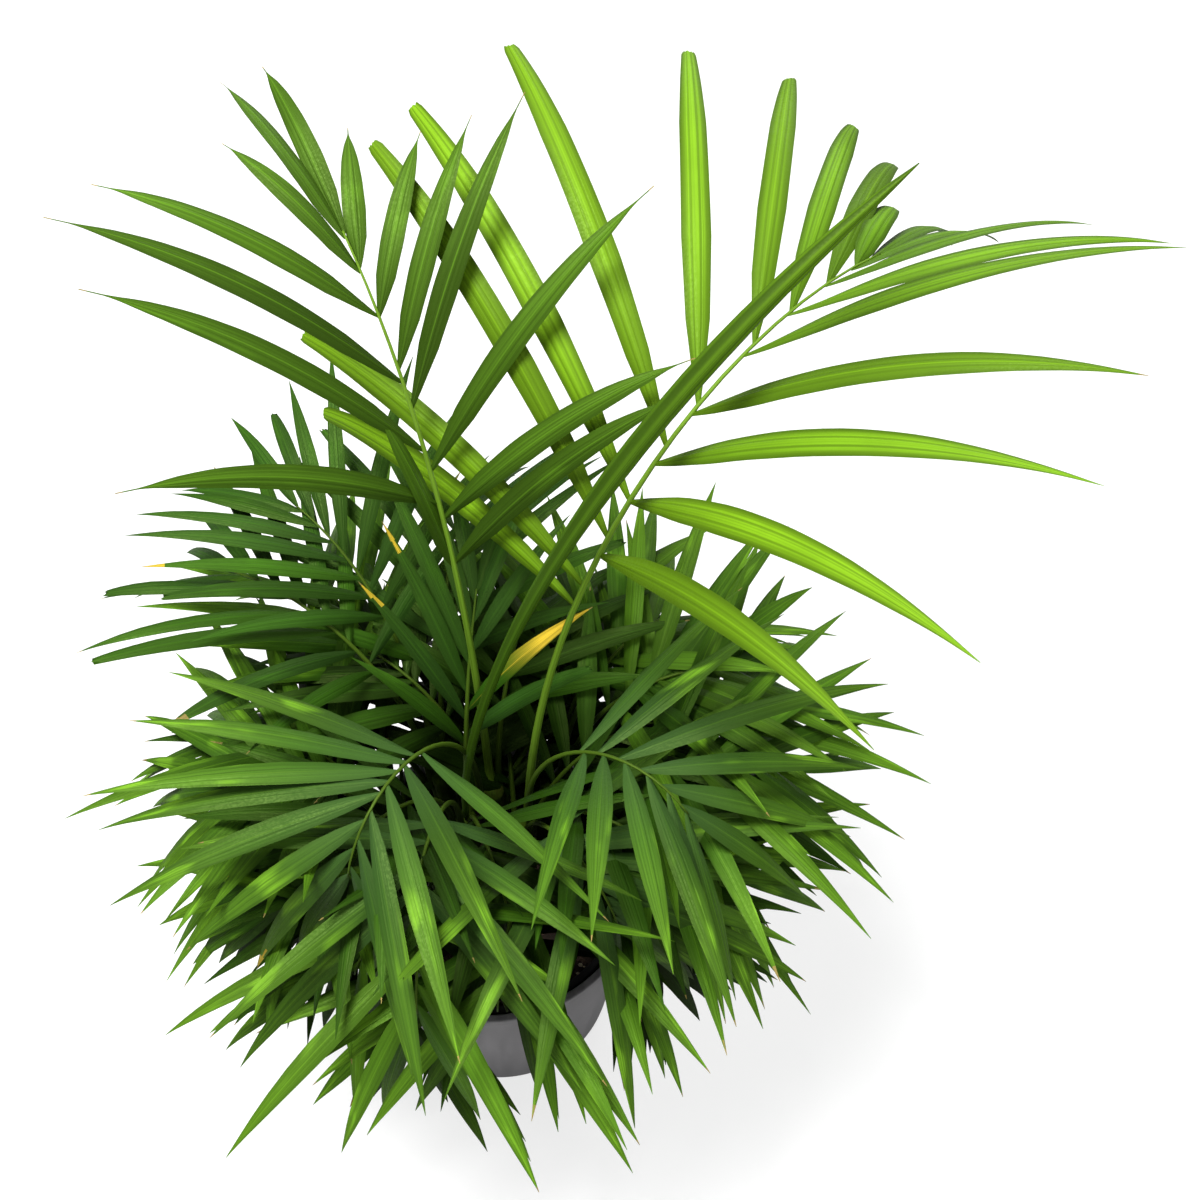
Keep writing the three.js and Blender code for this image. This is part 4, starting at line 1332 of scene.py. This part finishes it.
def tip_of(blade, seed, tints, yellow, dry):
    """Which tip a leaflet has: green, dry or turning yellow."""
    turning, brown = tints, tints + 1
    draw = chance(seed, 5)
    end = Vector(blade["points"][-1])
    rows = max([n for place, n in YELLOWED if (end - Vector(place)).length < NEAR] + [3 * (draw < yellow)])
    if rows:
        return ((rows, turning), (1, brown))
    if draw < yellow + dry:
        return ((1 if chance(seed, 6) < 0.7 else 2, brown),)
    return ()


def grow_leaflets(
        name, fronds, materials, columns=4, places=CROWN_ROWS, yellow=0.012, dry=0.3, blunt=0.04):
    """One piece of all leaflets of these fronds."""
    sheets = LeafletSheets(columns, places)
    tints = len(materials) - len(TIPS)
    for frond in fronds:
        for blade in frond["blades"]:
            seed = frond["seed"] * 53 + len(sheets.points)
            outline = blade.get("outline") or ("blunt" if chance(seed, 8) < blunt else "slender")
            tip = () if outline == "broad" else tip_of(blade, seed, tints, yellow, dry)
            tint = blade.get("tint", int(chance(seed, 3) * tints) % tints)
            sheets.add(blade, tint, outline, tip)
    nodes = [frond["name"] for frond in fronds if frond["name"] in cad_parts]
    put(name, sheets.mesh(name), materials, nodes)


def crown_fronds(kind):
    return [frond for frond in CROWN.fronds if frond["kind"] == kind]


class PALM_OT_young_leaflets(bpy.types.Operator):
    """Open the leaflets of the two tall fronds"""

    bl_idname = "palm.young_leaflets"
    bl_label = "Tall Leaflets"

    def execute(self, context):
        young, grown = colours().young, colours().grown
        right, left = crown_fronds("tall")
        bright = tinted(
            "young leaflet", shaded(grown, 2.0), young, (0.2, 0.45, 0.7, 0.95), bands=0.95, turn=0.35,
            patches=0.0, grooves=0.5, heart=1.0)
        for blade in right["blades"]:
            blade["outline"] = "broad" if blade["side"] < 0 else "slender"
            # Tints warmer and brighter towards the frond's foot, and one step more on side -1: that step is
            # painted light on the side that faces the light.
            blade["tint"] = min(3, int(4.2 * (1 - blade["share"]) + 0.6 * (blade["side"] < 0)))
        grow_leaflets("leaflets_tall_right", [right], bright, 8, TALL_ROWS, yellow=0.0, dry=0.3)
        green = tinted(
            "grown leaflet", grown, shaded(grown, 1.8), (0.0, 0.15, 0.3), bands=0.5, midrib=0.5, heart=1.0)
        for blade in left["blades"]:
            blade["outline"] = "whiskered"
        grow_leaflets("leaflets_tall_left", [left], green, 8, TALL_ROWS, yellow=0.0, dry=1.0)
        return {"FINISHED"}


class PALM_OT_crown_leaflets(bpy.types.Operator):
    """Open the leaflets of the crown's dark fronds, skirt and hem"""

    bl_idname = "palm.crown_leaflets"
    bl_label = "Crown Leaflets"

    def execute(self, context):
        dark, leaf, fresh = colours().dark, colours().leaf, colours().fresh
        heart = tinted("dark leaflet", dark, leaf, (0.0, 0.3, 0.8), turn=0.5)
        grow_leaflets("leaflets_heart", crown_fronds("mid"), heart, blunt=0.35)
        low = crown_fronds("low")
        top = [frond for frond in low if frond["name"] in CREST]
        below = [frond for frond in low if frond in CROWN.solid and frond not in top]
        between = [frond for frond in low if frond not in CROWN.solid]
        crest = tinted(
            "crest leaflet", dark, shaded(fresh, 0.85), (0.05, 0.12, 0.2), midrib=0.15, turn=0.75,
            patches=0.8, root=(0.026, 0.062, 0.016))
        grow_leaflets("leaflets_crest", top, crest)
        skirt = tinted("skirt leaflet", leaf, fresh, (0.0, 0.1, 0.35), midrib=0.2, turn=0.75, patches=0.6)
        grow_leaflets("leaflets_skirt", below, skirt)
        # Painted shade: the filling leaflets start from the skirt's green at 0.35 of its brightness, for their
        # place inside the crown.
        filling = tinted("filling leaflet", shaded(leaf, 0.35), leaf, (0.0, 0.2, 0.5), turn=0.4, patches=0.05)
        grow_leaflets("leaflets_filling", between + crown_fronds("inner"), filling)
        hem = tinted("hem leaflet", leaf, fresh, (0.0, 0.15, 0.4), midrib=0.2, turn=0.75, patches=0.6)
        grow_leaflets("leaflets_hem", crown_fronds("hem"), hem, dry=0.4, blunt=0.06)
        return {"FINISHED"}


class PALM_OT_spear(bpy.types.Operator):
    """Raise the unopened leaf, folded lengthwise"""

    bl_idname = "palm.spear"
    bl_label = "Spear"

    def execute(self, context):
        curve = fine_curve(rib_of(SPEAR, 0))
        sections = []
        for i, (point, _, side, face) in enumerate(curve):
            radius = float(np.interp(i / (len(curve) - 1), *zip(*SPEAR_GIRTH)))
            sections.append(cross_section(point, face, side, radius, 1.25))
        mesh = joined("spear_leaf", [tube(sections, sides=16, pleat=0.14)])
        green = leaflet_material(
            "spear green", shaded(colours().grown, 1.4), colours().young, bands=0.9, turn=0.8, patches=0.0,
            grooves=1.0, heart=1.0)
        put("spear_leaf", mesh, [green], ["spear"])
        return {"FINISHED"}


# The lamps: place and size in metres and power in watts. All point at one place in the crown.
LAMPS = {
    "window": ((-0.45, 0.0, 2.0), 0.8, 62.0),
    "fill": ((1.3, -0.5, 1.6), 1.4, 12.0),
    "front": ((-0.3, -1.5, 1.3), 1.2, 9.0),
    "back": ((0.4, 1.6, 1.2), 1.2, 9.0),
}
LIT_PLACE = Vector((0, 0, 0.25))


class PALM_OT_stage(bpy.types.Operator):
    """Set the pale floor, the soft lights and the camera"""

    bl_idname = "palm.stage"
    bl_label = "Stage"

    def execute(self, context):
        stage = context.scene.stage_sizes
        mesh = bpy.data.meshes.new("floor")
        shape = bmesh.new()
        bmesh.ops.create_grid(shape, x_segments=1, y_segments=1, size=stage.floor)
        shape.to_mesh(mesh)
        shape.free()
        floor = bpy.data.objects.new("floor", mesh)
        context.scene.collection.objects.link(floor)
        material, nodes, shader = new_material("floor white")
        seen = nodes.add("ShaderNodeLightPath").outputs["Is Camera Ray"]
        nodes.feed(shader.inputs["Base Color"], (0.4, 0.4, 0.395))
        nodes.feed(shader.inputs["Roughness"], 0.85)
        nodes.feed(shader.inputs["Emission Color"], (1, 1, 1))
        nodes.feed(shader.inputs["Emission Strength"], nodes.times(seen, stage.glow))
        mesh.materials.append(material)
        floor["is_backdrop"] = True
        world = bpy.data.worlds.new("soft daylight")
        world.use_nodes = True
        sky = world.node_tree.nodes["Background"]
        sky.inputs["Color"].default_value = (0.95, 0.98, 1.0, 1)
        sky.inputs["Strength"].default_value = 0.2
        context.scene.world = world
        context.scene.view_settings.view_transform = "Standard"
        for name, (place, size, power) in LAMPS.items():
            self.light(context, name, Vector(place), size, power)
        camera = bpy.data.objects.new("camera", bpy.data.cameras.new("camera"))
        context.scene.collection.objects.link(camera)
        camera.data.sensor_width = stage.sensor
        camera.data.lens = stage.lens
        camera.location = (stage.across, -stage.back, stage.height)
        camera.rotation_euler = (math.pi / 2 - stage.pitch, 0, 0)
        context.scene.camera = camera
        return {"FINISHED"}

    def light(self, context, name, place, size, power):
        lamp = bpy.data.lights.new(name, "AREA")
        lamp.shape = "DISK"
        lamp.size = size
        lamp.energy = power
        lamp_object = bpy.data.objects.new(name, lamp)
        context.scene.collection.objects.link(lamp_object)
        lamp_object.location = place
        aim = LIT_PLACE - place
        lamp_object.rotation_euler = aim.to_track_quat("-Z", "Y").to_euler()


class PALM_PT_panel(bpy.types.Panel):
    """Lists the pieces of the palm in the sidebar"""

    bl_idname = "PALM_PT_panel"
    bl_label = "Potted Palm"
    bl_space_type = "VIEW_3D"
    bl_region_type = "UI"
    bl_category = "Palm"

    def draw(self, context):
        for step in STEPS:
            self.layout.operator(step.bl_idname)
        for group in (context.scene.palm_sizes, context.scene.palm_colours, context.scene.stage_sizes):
            for key in group.__annotations__:
                self.layout.prop(group, key)


STEPS = (
    PALM_OT_stage, PALM_OT_cover_pot, PALM_OT_nursery_pot, PALM_OT_soil, PALM_OT_canes, PALM_OT_ribs,
    PALM_OT_young_leaflets, PALM_OT_crown_leaflets, PALM_OT_spear,
)
GROUPS = (("palm_sizes", PalmSizes), ("palm_colours", PalmColours), ("stage_sizes", StageSizes))


def register():
    for name, group in GROUPS:
        bpy.utils.register_class(group)
        setattr(bpy.types.Scene, name, PointerProperty(type=group))
    for step in STEPS:
        bpy.utils.register_class(step)
    bpy.utils.register_class(PALM_PT_panel)


def unregister():
    bpy.utils.unregister_class(PALM_PT_panel)
    for step in reversed(STEPS):
        bpy.utils.unregister_class(step)
    for name, group in reversed(GROUPS):
        delattr(bpy.types.Scene, name)
        bpy.utils.unregister_class(group)


def main():
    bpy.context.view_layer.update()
    register()
    for step in STEPS:
        area, name = step.bl_idname.split(".")
        getattr(getattr(bpy.ops, area), name)()


if __name__ == "__main__":
    main()
